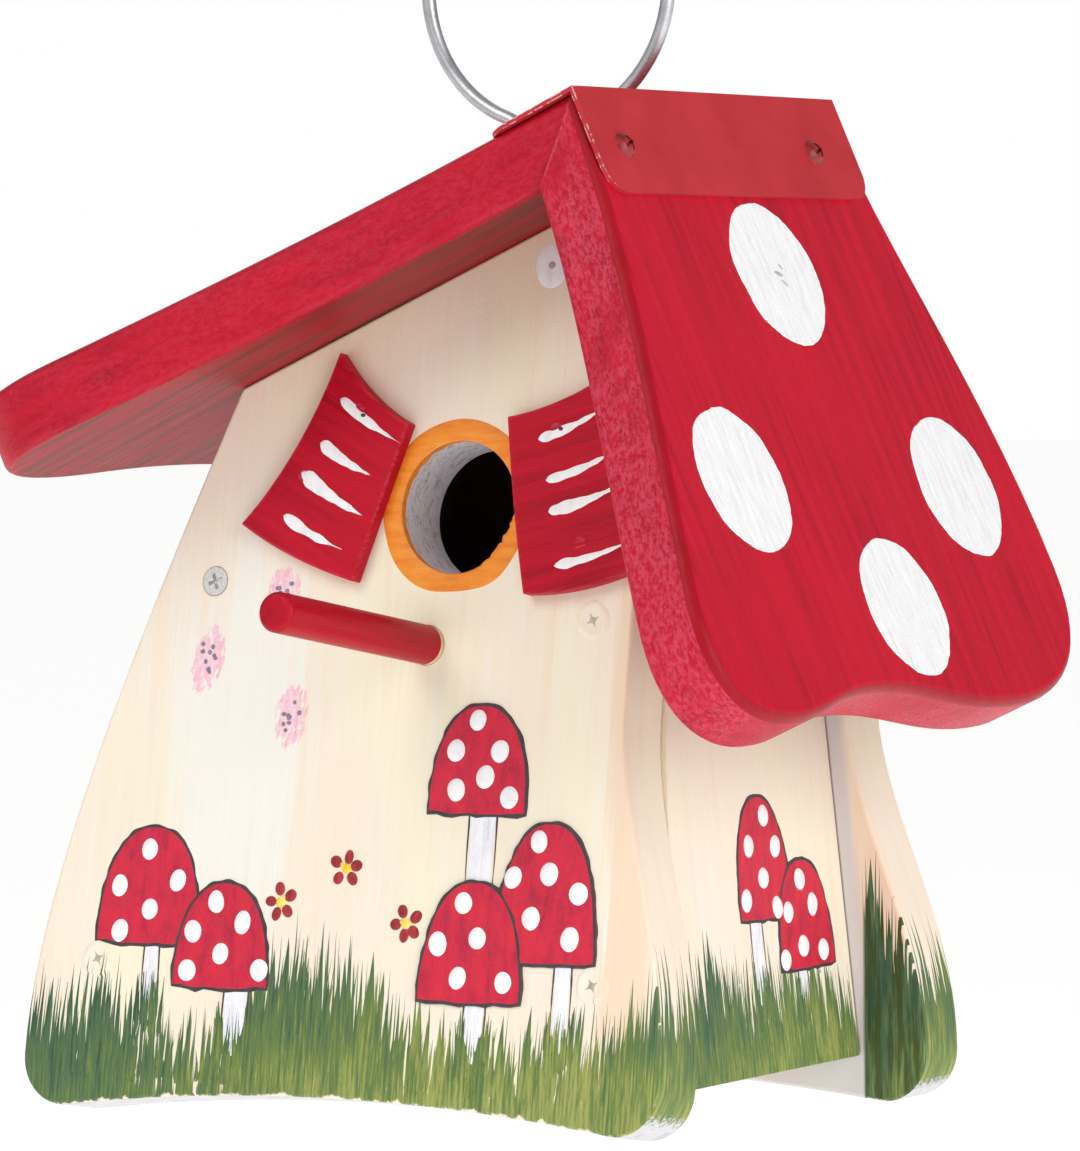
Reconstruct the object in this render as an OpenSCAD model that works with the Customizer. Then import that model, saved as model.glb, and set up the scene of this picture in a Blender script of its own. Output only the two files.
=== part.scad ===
// Hanging timber birdhouse with a bell-shaped front, a crooked mitred roof and a wire hanger.
// Millimetres. +Z is up and the entrance faces -Y. The ground plane is Z = 0.
// X = 0 is the middle of the bell-shaped foot, Y = 0 is the line the hanger hangs on.

/* [Boards] */
// Thickness of every panel, wall and roof board
board_t = 17; // [12:0.5:22]
// Backward lean of the front panel, in degrees
lean = 9.4; // [0:0.2:14]

/* [Body] */
// Y of the front panel's face at its foot
foot_y = -65.85; // [-80:0.5:-50]
// Y of the back panel's inner face
back_in_y = 42; // [30:0.5:60]
// Half width of the front panel between the centres of its two foot lobes
lobe_half = 78; // [60:1:95]
// Radius of the foot lobes
lobe_r = 12; // [6:0.5:20]
// Rise of the arch between the lobes
foot_arch = 5.2; // [0:0.2:15]
// How much further out the back panel's lobes stand than the front's
back_grow_foot = 12; // [0:0.5:20]
// How much wider the back panel is at shoulder height
back_grow_top = 7; // [0:0.5:15]
// Height of the walls' lower edge
wall_foot_z = 11; // [4:0.5:25]
// Outer face of the left wall at ground level
left_out_x = -89.6; // [-110:0.2:-70]
// Lean of the left wall towards the middle, in degrees
left_lean = 15.9; // [0:0.1:25]
// Outer face of the right wall at ground level
right_out_x = 85; // [60:0.5:100]
// Lean of the right wall towards the middle, in degrees
right_lean = 5.9; // [0:0.1:20]
// Height of the floor's underside
floor_z = 24; // [12:0.5:50]
// Diameter of the floor's drain holes
drain_d = 6; // [3:0.5:10]

/* [Entrance and perch] */
// Diameter of the entrance
entrance_d = 32; // [25:0.5:50]
// Entrance centre across the front panel
entrance_x = 24; // [0:0.5:40]
// Entrance centre up the front panel
entrance_v = 146; // [120:0.5:170]
// Perch diameter
perch_d = 9.5; // [6:0.5:14]
// Perch length in front of the panel
perch_out = 65; // [30:1:90]
// Perch length glued into the panel
perch_in = 12; // [6:0.5:17]
// Perch centre across the front panel
perch_x = 18.1; // [0:0.1:40]
// Perch centre up the front panel
perch_v = 113.1; // [90:0.1:130]

/* [Roof] */
// Ridge position
ridge_x = 69.4; // [40:0.2:90]
// Ridge height
ridge_z = 242.7; // [200:0.5:280]
// Slope of the left roof board below horizontal; the right one is square to it
left_slope = 23.9; // [10:0.1:45]
// Front end of the ridge
ridge_front_y = -61.5; // [-80:0.5:-40]
// Rear end of the ridge
ridge_back_y = 59.5; // [40:0.5:80]
// Down-slope length of the left board at its lobes
left_len = 181; // [120:1:220]
// Down-slope length of the right board at its lobes
right_len = 158; // [110:1:200]

/* [Ridge cap] */
// Sheet thickness
cap_t = 1; // [0.5:0.1:2]
// Width of each flange
cap_w = 26; // [15:0.5:40]
// Corner radius of the flanges
cap_corner = 7; // [1:0.5:12]

/* [Shutters] */
// Thickness of the shutters
shutter_t = 3.5; // [2:0.5:8]

/* [Hanger] */
// Wire diameter
wire_d = 3.4; // [2:0.1:5]
// Radius of the hoop's centre line
hoop_r = 34; // [20:1:60]
// Height of the hoop's centre
hoop_z = 271.8; // [250:0.5:300]
// Middle of the hoop
hoop_x = 25; // [0:0.5:50]
// Distance between the two legs
leg_gap = 12; // [8:0.5:30]
// Bend radius between a leg and the hoop
leg_bend = 9; // [5:0.5:20]
// Diameter of the two holes the legs pass through
leg_hole_d = 6.5; // [4:0.1:10]
// Width of the block under the roof that carries the hanger
block_w = 62; // [30:1:80]
// Thickness of that block
block_t = 18; // [10:0.5:25]

/* [Screws] */
// Shank diameter of the wood screws
screw_d = 3.5; // [2.5:0.1:5]
// Head diameter of the countersunk screws
head_d = 7; // [5:0.1:10]
// Length of the wood screws
screw_len = 40; // [25:1:60]
// Head diameter of the cap's pan-head screws
pan_d = 6.6; // [4:0.1:9]

/* [Hidden] */
$fn = 96;
wire_fn = 32;
wire_trim = 0.25;
curve_steps = 12;
over = 1;
far = 300;

right_slope = 90 - left_slope;
foot_z = board_t * sin(lean);
back_out_y = back_in_y + board_t;
// The inner corner of the mitred roof is the body's apex.
apex_x = ridge_x + board_t * (sin(left_slope) - cos(left_slope));
apex_z = ridge_z - board_t * (cos(left_slope) + sin(left_slope));
shoulder_left = 173;
shoulder_right = 98;
panel_top = 240;
leg_x = [hoop_x - leg_gap / 2, hoop_x + leg_gap / 2];
leg_bar_z = 181.4;
bar_bend = 3;

cream = [0.96, 0.91, 0.78];
crimson = [0.72, 0.08, 0.14];
steel = [0.72, 0.73, 0.74];
bare_wood = [0.86, 0.74, 0.56];

// Front screws as [x, v] on the front panel: upper pair, lower pair, hanger block.
front_screw_at = [[-44, 128], [63.4, 119.4], [-70, 35.8], [70, 34.5], [45.5, 203.4]];
// Back screws as [x, z] on the back panel.
back_screw_at = [[-44, 129], [63.4, 121], [-69, 40], [71.5, 40], [45.5, 203.5]];
// Cap screws as [s, y] on each flange; the rows are staggered so that they miss each other.
cap_screw_s = 14;
cap_screw_right_y = [-50, 39];
cap_screw_left_y = [-38, 27];
// Roof screws as [s, y] on each board.
roof_screw_left = [[45, -24], [100, -31], [45, 50.5], [100, 50.5]];
roof_screw_right = [[46, -0.5]];
// Shutter brads as [x, v] on the front panel.
brad_at = [[-3.8, 168.9], [-18.2, 153.2], [51.8, 163.9], [60.5, 137]];
// Floor nails as Y positions, the same in both walls.
nail_y = [-12, 26];
nail_d = 2;
nail_len = 38;
// Drain holes as [x, y] in the floor.
drain_at = [[-40, 20], [40, 20]];

// Screw and brad details.
recess_arm = 4;
recess_w = 0.9;
recess_depth = 1.4;
recess_turn = 20;
point_d = 0.6;
pan_h = 2.2;
pan_shank_d = 3;
pan_len = 21;
brad_head_d = 2.6;
brad_head_h = 0.6;
brad_d = 1.4;
brad_len = 14;

// ---- Helpers ----

// Points along a cubic Bezier curve, without the last one.
function curve(a, b, c, d) = [
    for (i = [0 : curve_steps - 1])
        let (t = i / curve_steps, u = 1 - t)
        u * u * u * a + 3 * u * u * t * b + 3 * u * t * t * c + t * t * t * d
];

// Points along an arc, both ends included.
function arc(centre, r, from, to) = [
    for (i = [0 : curve_steps])
        let (q = from + (to - from) * i / curve_steps)
        centre + r * [cos(q), sin(q)]
];

// Puts children drawn as (x, v, outward) onto the leaning front face.
module on_front() {
    translate([0, foot_y, foot_z])
        rotate([90 - lean, 0, 0])
            children();
}

// Puts children drawn as (x, z, outward) onto the back panel's outer face.
module on_back() {
    translate([0, back_out_y, 0])
        mirror([0, 1, 0])
            rotate([90, 0, 0])
                children();
}

// Puts children drawn as (s, y, outward) onto a roof board's top face.
module on_roof_right() {
    translate([ridge_x, 0, ridge_z])
        rotate([0, right_slope, 0])
            children();
}

module on_roof_left() {
    translate([ridge_x, 0, ridge_z])
        mirror([1, 0, 0])
            rotate([0, left_slope, 0])
                children();
}

// Extrudes a profile drawn as (x, z) along the whole depth.
module along_y() {
    translate([0, far / 2, 0])
        rotate([90, 0, 0])
            linear_extrude(far)
                children();
}

// Everything below the two roof boards.
module under_roof() {
    along_y()
        polygon([
            [apex_x, apex_z],
            [apex_x - far, apex_z - far * tan(left_slope)],
            [apex_x - far, apex_z - far],
            [apex_x + far * tan(left_slope), apex_z - far]
        ]);
}

// The space between the front panel's rear face and the back panel.
module between_panels() {
    rear_y = foot_y + board_t * cos(lean);
    translate([-far / 2, 0, 0])
        rotate([90, 0, 90])
            linear_extrude(far)
                polygon([
                    [rear_y, 0],
                    [back_in_y, 0],
                    [back_in_y, far],
                    [rear_y + far * tan(lean), far]
                ]);
}

// The space under the hanger block.
module under_block() {
    drop = block_t / cos(left_slope);
    along_y()
        polygon([
            [apex_x + far, apex_z - drop + far * tan(left_slope)],
            [apex_x - far, apex_z - drop - far * tan(left_slope)],
            [apex_x - far, apex_z - far],
            [apex_x + far, apex_z - far]
        ]);
}

// A countersunk screw with its head flush with the plane z = 0, pointing down.
module countersunk() {
    head_h = (head_d - screw_d) / 2;
    tip = screw_d;
    translate([0, 0, -head_h])
        cylinder(h = head_h, d1 = screw_d, d2 = head_d);
    translate([0, 0, tip - screw_len])
        cylinder(h = screw_len - tip - head_h, d = screw_d);
    translate([0, 0, -screw_len])
        cylinder(h = tip, d1 = point_d, d2 = screw_d);
}

// The cross-shaped driver recess, sunk from z = 0.
module cross_recess() {
    for (turn = [0, 90])
        rotate([0, 0, turn + recess_turn])
            translate([-recess_arm / 2, -recess_w / 2, -recess_depth])
                cube([recess_arm, recess_w, recess_depth + over]);
}

module countersunk_screw() {
    difference() {
        countersunk();
        cross_recess();
    }
}

// A pan-head screw whose head sits on the plane z = 0.
module pan_head() {
    tip = pan_shank_d;
    dome_r = (pan_d * pan_d / 4 + pan_h * pan_h) / (2 * pan_h);
    intersection() {
        translate([0, 0, pan_h - dome_r])
            sphere(r = dome_r);
        cylinder(h = pan_h, d = pan_d);
    }
    translate([0, 0, tip - pan_len])
        cylinder(h = pan_len - tip, d = pan_shank_d);
    translate([0, 0, -pan_len])
        cylinder(h = tip, d1 = point_d, d2 = pan_shank_d);
}

module pan_screw() {
    difference() {
        pan_head();
        translate([0, 0, pan_h])
            cross_recess();
    }
}

// ---- Outlines ----

// The bell outline shared by both panels. grow_foot and grow_top widen it.
module bell_outline(grow_foot = 0, grow_top = 0) {
    lobe_x = lobe_half + grow_foot;
    side_x = lobe_x + lobe_r;
    left_top = -38 - grow_top;
    right_top = 74 + grow_top;
    arch = foot_arch * 4 / 3;
    polygon(concat(
        [[right_top, panel_top], [left_top, panel_top]],
        curve([left_top, shoulder_left + 8], [left_top - 22, 128], [-side_x, 58], [-side_x, lobe_r]),
        arc([-lobe_x, lobe_r], lobe_r, 180, 270),
        curve([-lobe_x, 0], [-26, arch], [26, arch], [lobe_x, 0]),
        arc([lobe_x, lobe_r], lobe_r, 270, 360),
        curve([side_x, lobe_r], [side_x, 45], [right_top, 70], [right_top, shoulder_right])
    ));
}

// The right roof board as (s, y): s runs down the slope from the ridge.
module roof_outline_right() {
    len = right_len;
    polygon(concat(
        curve([0, ridge_front_y], [45, -65], [80, -82], [len - 33, -96]),
        curve([len - 33, -96], [len - 16, -101.5], [len - 2, -95], [len - 2, -72]),
        curve([len - 2, -72], [len - 2, -55], [len - 7, -50], [len - 7, -31]),
        curve([len - 7, -31], [len - 7, -5], [len, 5], [len, 33]),
        curve([len, 33], [len, 60], [len - 10, 79.5], [len - 33, 80]),
        curve([len - 33, 80], [75, 81], [30, 56], [0, ridge_back_y]),
        [[0, ridge_back_y]]
    ));
}

// The left roof board, drawn the same way.
module roof_outline_left() {
    len = left_len;
    polygon(concat(
        curve([0, ridge_front_y], [60, -62], [100, -70], [len - 33, -82]),
        curve([len - 33, -82], [len - 16, -86], [len, -80], [len, -52]),
        curve([len, -52], [len, -34], [len - 5, -28], [len - 5, 0]),
        curve([len - 5, 0], [len - 5, 28], [len, 34], [len, 50]),
        curve([len, 50], [len, 78], [len - 16, 84], [len - 33, 80]),
        curve([len - 33, 80], [100, 68], [60, 60], [0, ridge_back_y]),
        [[0, ridge_back_y]]
    ));
}

// One flange of the ridge cap as (s, y), with rounded lower corners.
module flange_outline() {
    y0 = ridge_front_y - 1.5;
    y1 = ridge_back_y;
    r = cap_corner;
    polygon(concat(
        [[0, y0]],
        arc([cap_w - r, y0 + r], r, 270, 360),
        arc([cap_w - r, y1 - r], r, 0, 90),
        [[0, y1]]
    ));
}

// ---- Screw sets, shared by the screws themselves and by the holes they make ----

module at_front_screws() {
    for (p = front_screw_at)
        on_front()
            translate([p[0], p[1], 0])
                children();
}

module at_back_screws() {
    for (p = back_screw_at)
        on_back()
            translate([p[0], p[1], 0])
                children();
}

module at_roof_screws() {
    for (p = roof_screw_left)
        on_roof_left()
            translate([p[0], p[1], 0])
                children();
    for (p = roof_screw_right)
        on_roof_right()
            translate([p[0], p[1], 0])
                children();
}

module at_cap_screws() {
    for (y = cap_screw_right_y)
        on_roof_right()
            translate([cap_screw_s, y, cap_t])
                children();
    for (y = cap_screw_left_y)
        on_roof_left()
            translate([cap_screw_s, y, cap_t])
                children();
}

module at_brads() {
    for (p = brad_at)
        on_front()
            translate([p[0], p[1], shutter_t])
                children();
}

// Nails run level from the outside of each wall into the ends of the floor.
module floor_nail_set() {
    z = floor_z + board_t / 2;
    left_x = left_out_x + z * tan(left_lean);
    right_x = right_out_x - z * tan(right_lean);
    for (y = nail_y) {
        translate([left_x, y, z])
            rotate([0, 90, 0])
                cylinder(h = nail_len, d = nail_d);
        translate([right_x, y, z])
            rotate([0, -90, 0])
                cylinder(h = nail_len, d = nail_d);
    }
}

module brad() {
    translate([0, 0, -brad_head_h])
        cylinder(h = brad_head_h, d = brad_head_d);
    translate([0, 0, -brad_len])
        cylinder(h = brad_len - brad_head_h / 2, d = brad_d);
}

// The two holes for the hanger's legs, through the roof board and the block.
module leg_holes() {
    below = 60;
    above = 40;
    for (x = leg_x)
        translate([x, 0, apex_z - below])
            cylinder(h = below + above, d = leg_hole_d);
}

// ---- Sub-parts ----

module front_panel() {
    color(cream)
        difference() {
            intersection() {
                on_front()
                    translate([0, 0, -board_t])
                        linear_extrude(board_t)
                            bell_outline();
                under_roof();
            }
            on_front() {
                translate([entrance_x, entrance_v, -board_t - over])
                    cylinder(h = board_t + 2 * over, d = entrance_d);
                translate([perch_x, perch_v, -perch_in])
                    cylinder(h = perch_in + over, d = perch_d);
            }
            at_front_screws()
                countersunk();
            at_roof_screws()
                countersunk();
            at_brads()
                brad();
        }
}

module back_panel() {
    color(cream)
        difference() {
            intersection() {
                on_back()
                    translate([0, 0, -board_t])
                        linear_extrude(board_t)
                            bell_outline(back_grow_foot, back_grow_top);
                under_roof();
            }
            at_back_screws()
                countersunk();
            at_roof_screws()
                countersunk();
        }
}

// A wall board drawn by its outer face at ground level and its lean; side is -1 left, 1 right.
module wall_profile(out_x, angle, side) {
    in_x = out_x - side * board_t / cos(angle);
    shift = -side * tan(angle);
    polygon([
        [out_x + wall_foot_z * shift, wall_foot_z],
        [in_x + wall_foot_z * shift, wall_foot_z],
        [in_x + panel_top * shift, panel_top],
        [out_x + panel_top * shift, panel_top]
    ]);
}

module wall_left() {
    color(cream)
        difference() {
            intersection() {
                along_y()
                    wall_profile(left_out_x, left_lean, -1);
                between_panels();
                under_roof();
            }
            at_front_screws()
                countersunk();
            at_back_screws()
                countersunk();
            floor_nail_set();
        }
}

module wall_right() {
    color(cream)
        difference() {
            intersection() {
                along_y()
                    wall_profile(right_out_x, right_lean, 1);
                between_panels();
                under_roof();
                under_block();
            }
            at_front_screws()
                countersunk();
            at_back_screws()
                countersunk();
            at_roof_screws()
                countersunk();
            floor_nail_set();
        }
}

module floor_board() {
    left_in = left_out_x + board_t / cos(left_lean);
    right_in = right_out_x - board_t / cos(right_lean);
    top = floor_z + board_t;
    color(bare_wood)
        difference() {
            intersection() {
                along_y()
                    polygon([
                        [left_in + floor_z * tan(left_lean), floor_z],
                        [right_in - floor_z * tan(right_lean), floor_z],
                        [right_in - top * tan(right_lean), top],
                        [left_in + top * tan(left_lean), top]
                    ]);
                between_panels();
            }
            for (p = drain_at)
                translate([p[0], p[1], floor_z - over])
                    cylinder(h = board_t + 2 * over, d = drain_d);
            floor_nail_set();
        }
}

// The block fills the corner under the ridge: the panels' top screws and the wire go through it.
module hanger_block() {
    color(bare_wood)
        difference() {
            intersection() {
                on_roof_left()
                    translate([board_t, -far / 2, -board_t - block_t])
                        cube([block_w, far, block_t]);
                between_panels();
            }
            leg_holes();
            at_front_screws()
                countersunk();
            at_back_screws()
                countersunk();
            at_roof_screws()
                countersunk();
        }
}

// The half of the roof's cross-section that belongs to one board, cut along the mitre.
module right_of_mitre() {
    along_y()
        polygon([
            [ridge_x, ridge_z],
            [apex_x, apex_z],
            [apex_x, apex_z - far],
            [ridge_x + far, ridge_z - far],
            [ridge_x + far, ridge_z]
        ]);
}

module left_of_mitre() {
    along_y()
        polygon([
            [ridge_x, ridge_z],
            [apex_x, apex_z],
            [apex_x, apex_z - far],
            [ridge_x - far, ridge_z - far],
            [ridge_x - far, ridge_z]
        ]);
}

module roof_board_left() {
    color(crimson)
        difference() {
            intersection() {
                on_roof_left()
                    translate([0, 0, -board_t])
                        linear_extrude(board_t)
                            roof_outline_left();
                left_of_mitre();
            }
            leg_holes();
            at_cap_screws()
                pan_head();
            at_roof_screws()
                countersunk();
        }
}

module roof_board_right() {
    color(crimson)
        difference() {
            intersection() {
                on_roof_right()
                    translate([0, 0, -board_t])
                        linear_extrude(board_t)
                            roof_outline_right();
                right_of_mitre();
            }
            at_cap_screws()
                pan_head();
            at_roof_screws()
                countersunk();
        }
}

// A sheet folded square over the ridge.
module ridge_cap() {
    y0 = ridge_front_y - 1.5;
    color(crimson)
        difference() {
            union() {
                on_roof_right()
                    linear_extrude(cap_t)
                        flange_outline();
                on_roof_left()
                    linear_extrude(cap_t)
                        flange_outline();
                on_roof_right()
                    translate([-cap_t, y0, 0])
                        cube([cap_t, ridge_back_y - y0, cap_t]);
            }
            at_cap_screws()
                translate([0, 0, -cap_t - over])
                    cylinder(h = cap_t + over, d = pan_shank_d);
        }
}

module ridge_cap_screws() {
    color(crimson)
        at_cap_screws()
            pan_screw();
}

module front_screws() {
    color(steel)
        at_front_screws()
            countersunk_screw();
}

module back_screws() {
    color(steel)
        at_back_screws()
            countersunk_screw();
}

module roof_screws() {
    color(steel)
        at_roof_screws()
            countersunk_screw();
}

module floor_nails() {
    color(steel)
        floor_nail_set();
}

module perch() {
    tip = 1;
    color(crimson)
        on_front()
            translate([perch_x, perch_v, 0]) {
                translate([0, 0, -perch_in])
                    cylinder(h = perch_in + perch_out - tip, d = perch_d);
                translate([0, 0, perch_out - tip])
                    cylinder(h = tip, d1 = perch_d, d2 = perch_d - 2 * tip);
            }
}

// Small boards with hollowed edges, pinned at a slant beside the entrance.
module shutter_left() {
    color(crimson)
        difference() {
            on_front()
                linear_extrude(shutter_t)
                    polygon(concat(
                        curve([-10.5, 183], [-4.5, 175], [3, 169], [10.5, 165.7]),
                        curve([10.5, 165.7], [6, 152], [2, 140], [-2, 127.7]),
                        curve([-2, 127.7], [-13, 130.5], [-25, 135], [-35.4, 141.5]),
                        curve([-35.4, 141.5], [-25, 152], [-16, 167], [-10.5, 183])
                    ));
            at_brads()
                brad();
        }
}

module shutter_right() {
    color(crimson)
        difference() {
            on_front()
                linear_extrude(shutter_t)
                    polygon(concat(
                        curve([38, 167], [48, 168.5], [60, 173], [68, 179.5]),
                        curve([68, 179.5], [68.5, 163], [71, 147], [76, 131]),
                        curve([76, 131], [66, 127], [56, 125], [45.8, 125]),
                        curve([45.8, 125], [42.5, 139], [40, 153], [38, 167])
                    ));
            at_brads()
                brad();
        }
}

module shutter_brads() {
    color(steel)
        at_brads()
            brad();
}

// One arc of wire in the XZ plane, from angle a0 through sweep degrees, and a bead on its far end.
module wire_arc(centre_x, centre_z, r, a0, sweep) {
    trim = wire_trim / r * 180 / PI;
    translate([centre_x, 0, centre_z])
        rotate([90, 0, 0]) {
            rotate([0, 0, a0 + trim])
                rotate_extrude(angle = sweep - 2 * trim, $fn = wire_fn)
                    translate([r, 0])
                        circle(d = wire_d, $fn = wire_fn);
            rotate([0, 0, a0 + sweep])
                translate([r, 0, 0])
                    wire_bead();
        }
}

// A bead that joins two trimmed lengths of wire.
module wire_bead() {
    sphere(r = wire_d / 2 + 0.05, $fn = wire_fn);
}

// One straight length of wire, drawn upwards from the origin, and a bead on its far end.
module wire_rod(len) {
    translate([0, 0, wire_trim])
        cylinder(h = len - 2 * wire_trim, d = wire_d, $fn = wire_fn);
    translate([0, 0, len])
        wire_bead();
}

// A closed loop, drawn clockwise from the foot of the right leg: leg, bend, hoop, bend, leg, bar.
module hanger_wire() {
    bend_dx = leg_gap / 2 + leg_bend;
    bend_dz = sqrt(pow(hoop_r + leg_bend, 2) - bend_dx * bend_dx);
    bend_z = hoop_z - bend_dz;
    open = atan2(bend_dx, bend_dz);
    bar_top = leg_bar_z + bar_bend;
    leg_len = bend_z - bar_top;
    color(steel) {
        translate([leg_x[1], 0, bar_top])
            wire_rod(leg_len);
        wire_arc(hoop_x + bend_dx, bend_z, leg_bend, 90 + open, 90 - open);
        wire_arc(hoop_x, hoop_z, hoop_r, open - 90, 360 - 2 * open);
        wire_arc(hoop_x - bend_dx, bend_z, leg_bend, 0, 90 - open);
        translate([leg_x[0], 0, bend_z])
            mirror([0, 0, 1])
                wire_rod(leg_len);
        wire_arc(leg_x[0] + bar_bend, bar_top, bar_bend, 180, 90);
        translate([leg_x[0] + bar_bend, 0, leg_bar_z])
            rotate([0, 90, 0])
                wire_rod(leg_gap - 2 * bar_bend);
        wire_arc(leg_x[1] - bar_bend, bar_top, bar_bend, 270, 90);
        translate([hoop_x + hoop_r * cos(open - 90), 0, hoop_z + hoop_r * sin(open - 90)])
            wire_bead();
        translate([leg_x[0], 0, bend_z])
            wire_bead();
    }
}

front_panel();
back_panel();
wall_left();
wall_right();
floor_board();
hanger_block();
roof_board_left();
roof_board_right();
ridge_cap();
ridge_cap_screws();
front_screws();
back_screws();
roof_screws();
floor_nails();
perch();
shutter_left();
shutter_right();
shutter_brads();
hanger_wire();
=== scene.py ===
"""Looks of the hanging birdhouse: hand-painted softwood boards, raised paint, sheet cap and wire."""

import math
import random

import bmesh
import bpy
from mathutils import Matrix, Vector, noise

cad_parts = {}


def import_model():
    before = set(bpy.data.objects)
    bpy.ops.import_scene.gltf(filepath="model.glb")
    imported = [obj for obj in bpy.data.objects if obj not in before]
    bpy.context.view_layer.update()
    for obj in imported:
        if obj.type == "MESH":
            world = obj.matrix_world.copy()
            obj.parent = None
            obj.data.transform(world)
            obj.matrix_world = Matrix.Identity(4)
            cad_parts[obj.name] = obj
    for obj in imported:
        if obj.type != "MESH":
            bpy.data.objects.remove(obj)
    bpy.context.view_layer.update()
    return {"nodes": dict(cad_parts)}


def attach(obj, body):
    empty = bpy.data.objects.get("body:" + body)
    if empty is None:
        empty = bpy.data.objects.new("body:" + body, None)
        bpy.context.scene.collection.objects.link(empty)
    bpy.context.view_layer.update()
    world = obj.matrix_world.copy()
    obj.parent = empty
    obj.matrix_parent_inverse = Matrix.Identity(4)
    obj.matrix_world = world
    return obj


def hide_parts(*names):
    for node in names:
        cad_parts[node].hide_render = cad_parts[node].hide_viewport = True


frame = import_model()
nodes = frame["nodes"]

# ---- Sizes in millimetres: the part's own driving sizes ----

MM = 0.001
BOARD_T = 17.0
LEAN = math.radians(9.4)
LEFT_SLOPE = math.radians(23.9)
RIGHT_SLOPE = math.radians(66.1)
LEFT_LEAN = math.radians(15.9)
RIGHT_LEAN = math.radians(5.9)
RIDGE = Vector((69.4, 0, 242.7))
RIDGE_Y = (-61.5, 59.5)
APEX = RIDGE + BOARD_T * Vector((math.sin(LEFT_SLOPE) - math.cos(LEFT_SLOPE), 0,
                                 -math.sin(LEFT_SLOPE) - math.cos(LEFT_SLOPE)))
FOOT_Y = -65.85
LOBE_HALF = 78.0
LOBE_R = 12.0
FOOT_ARCH = 5.2
PANEL_TOP = 240.0
BACK_GROW_FOOT = 12.0
BACK_GROW_TOP = 7.0
BACK_IN_Y = 42.0
LEFT_OUT_X = -89.6
RIGHT_OUT_X = 85.0
WALL_FOOT_Z = 11.0
LEFT_LEN, RIGHT_LEN = 181.0, 158.0
ENTRANCE = (24.0, 146.0)
ENTRANCE_R = 16.0
PERCH = (18.1, 113.1)
PERCH_R = 4.75
PERCH_OUT = 65.0
PERCH_IN = 12.0
SHUTTER_T = 3.5
HEAD_R = 3.5
HEAD_HOLE_R = HEAD_R + 0.15
FRONT_SCREWS = [(-44, 128), (63.4, 119.4), (-70, 35.8), (70, 34.5), (45.5, 203.4)]
BACK_SCREWS = [(-44, 129), (63.4, 121), (-69, 40), (71.5, 40), (45.5, 203.5)]
BRADS = [(-3.8, 168.9), (-18.2, 153.2), (51.8, 163.9), (60.5, 137)]
ROOF_SCREW_RIGHT = (46, -0.5)
ROOF_SCREWS_LEFT = [(45, -24), (100, -31), (45, 50.5), (100, 50.5)]
WIRE_R = 1.7
HOOP = (25.0, 271.8)
HOOP_R = 34.0
LEG_BEND = 9.0
LEG_GAP = 12.0
BAR_Z = 181.4
BAR_BEND = 3.0
LEG_HOLE_R = 3.25


class Face:
    """A flat face with its own axes: u and v lie in it and n points out. Points are in millimetres."""

    def __init__(self, origin, u, v):
        self.origin = Vector(origin)
        self.u = Vector(u).normalized()
        self.v = Vector(v).normalized()
        self.n = self.u.cross(self.v)

    def point(self, u, v, n=0.0):
        return (self.origin + self.u * u + self.v * v + self.n * n) * MM

    def local(self, p):
        d = p / MM - self.origin
        return Vector((d.dot(self.u), d.dot(self.v), d.dot(self.n)))

    def turn(self):
        return Matrix((self.u, self.v, self.n)).transposed().to_euler()


FRONT = Face((0, FOOT_Y, BOARD_T * math.sin(LEAN)), (1, 0, 0), (0, math.sin(LEAN), math.cos(LEAN)))
BACK_IN = Face((0, BACK_IN_Y, 0), (1, 0, 0), (0, 0, 1))
BACK_OUT = Face((0, BACK_IN_Y + BOARD_T, 0), (-1, 0, 0), (0, 0, 1))
WALL_RIGHT = Face((RIGHT_OUT_X, 0, 0), (0, 1, 0), (-math.sin(RIGHT_LEAN), 0, math.cos(RIGHT_LEAN)))
WALL_LEFT = Face((LEFT_OUT_X, 0, 0), (0, -1, 0), (math.sin(LEFT_LEAN), 0, math.cos(LEFT_LEAN)))
ROOF_RIGHT = Face(RIDGE, (math.cos(RIGHT_SLOPE), 0, -math.sin(RIGHT_SLOPE)), (0, 1, 0))
ROOF_LEFT = Face(RIDGE, (-math.cos(LEFT_SLOPE), 0, -math.sin(LEFT_SLOPE)), (0, -1, 0))


# ---- Outlines ----

def curve(a, b, c, d, steps=14):
    """Points along a cubic Bezier curve, without the last one."""
    a, b, c, d = Vector(a), Vector(b), Vector(c), Vector(d)
    out = []
    for i in range(steps):
        t = i / steps
        w = 1 - t
        out.append(w * w * w * a + 3 * w * w * t * b + 3 * w * t * t * c + t * t * t * d)
    return out


def arc(centre, r, start, end, steps=10):
    """Points along an arc in degrees, both ends included."""
    out = []
    for i in range(steps + 1):
        q = math.radians(start + (end - start) * i / steps)
        out.append(Vector((centre[0] + r * math.cos(q), centre[1] + r * math.sin(q))))
    return out


def bell_outline(grow_foot=0.0, grow_top=0.0):
    """The bell shared by both panels, widened at the foot and the shoulders."""
    arch = FOOT_ARCH * 4 / 3
    lobe = LOBE_HALF + grow_foot
    side = lobe + LOBE_R
    left, right = -38 - grow_top, 74 + grow_top
    return (
        [Vector((right, PANEL_TOP)), Vector((left, PANEL_TOP))]
        + curve((left, 181), (left - 22, 128), (-side, 58), (-side, LOBE_R), 24)
        + arc((-lobe, LOBE_R), LOBE_R, 180, 270)
        + curve((-lobe, 0), (-26, arch), (26, arch), (lobe, 0), 24)[1:]
        + arc((lobe, LOBE_R), LOBE_R, 270, 360)
        + curve((side, LOBE_R), (side, 45), (right, 70), (right, 98), 20)[1:]
        + [Vector((right, 98))]
    )


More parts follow.
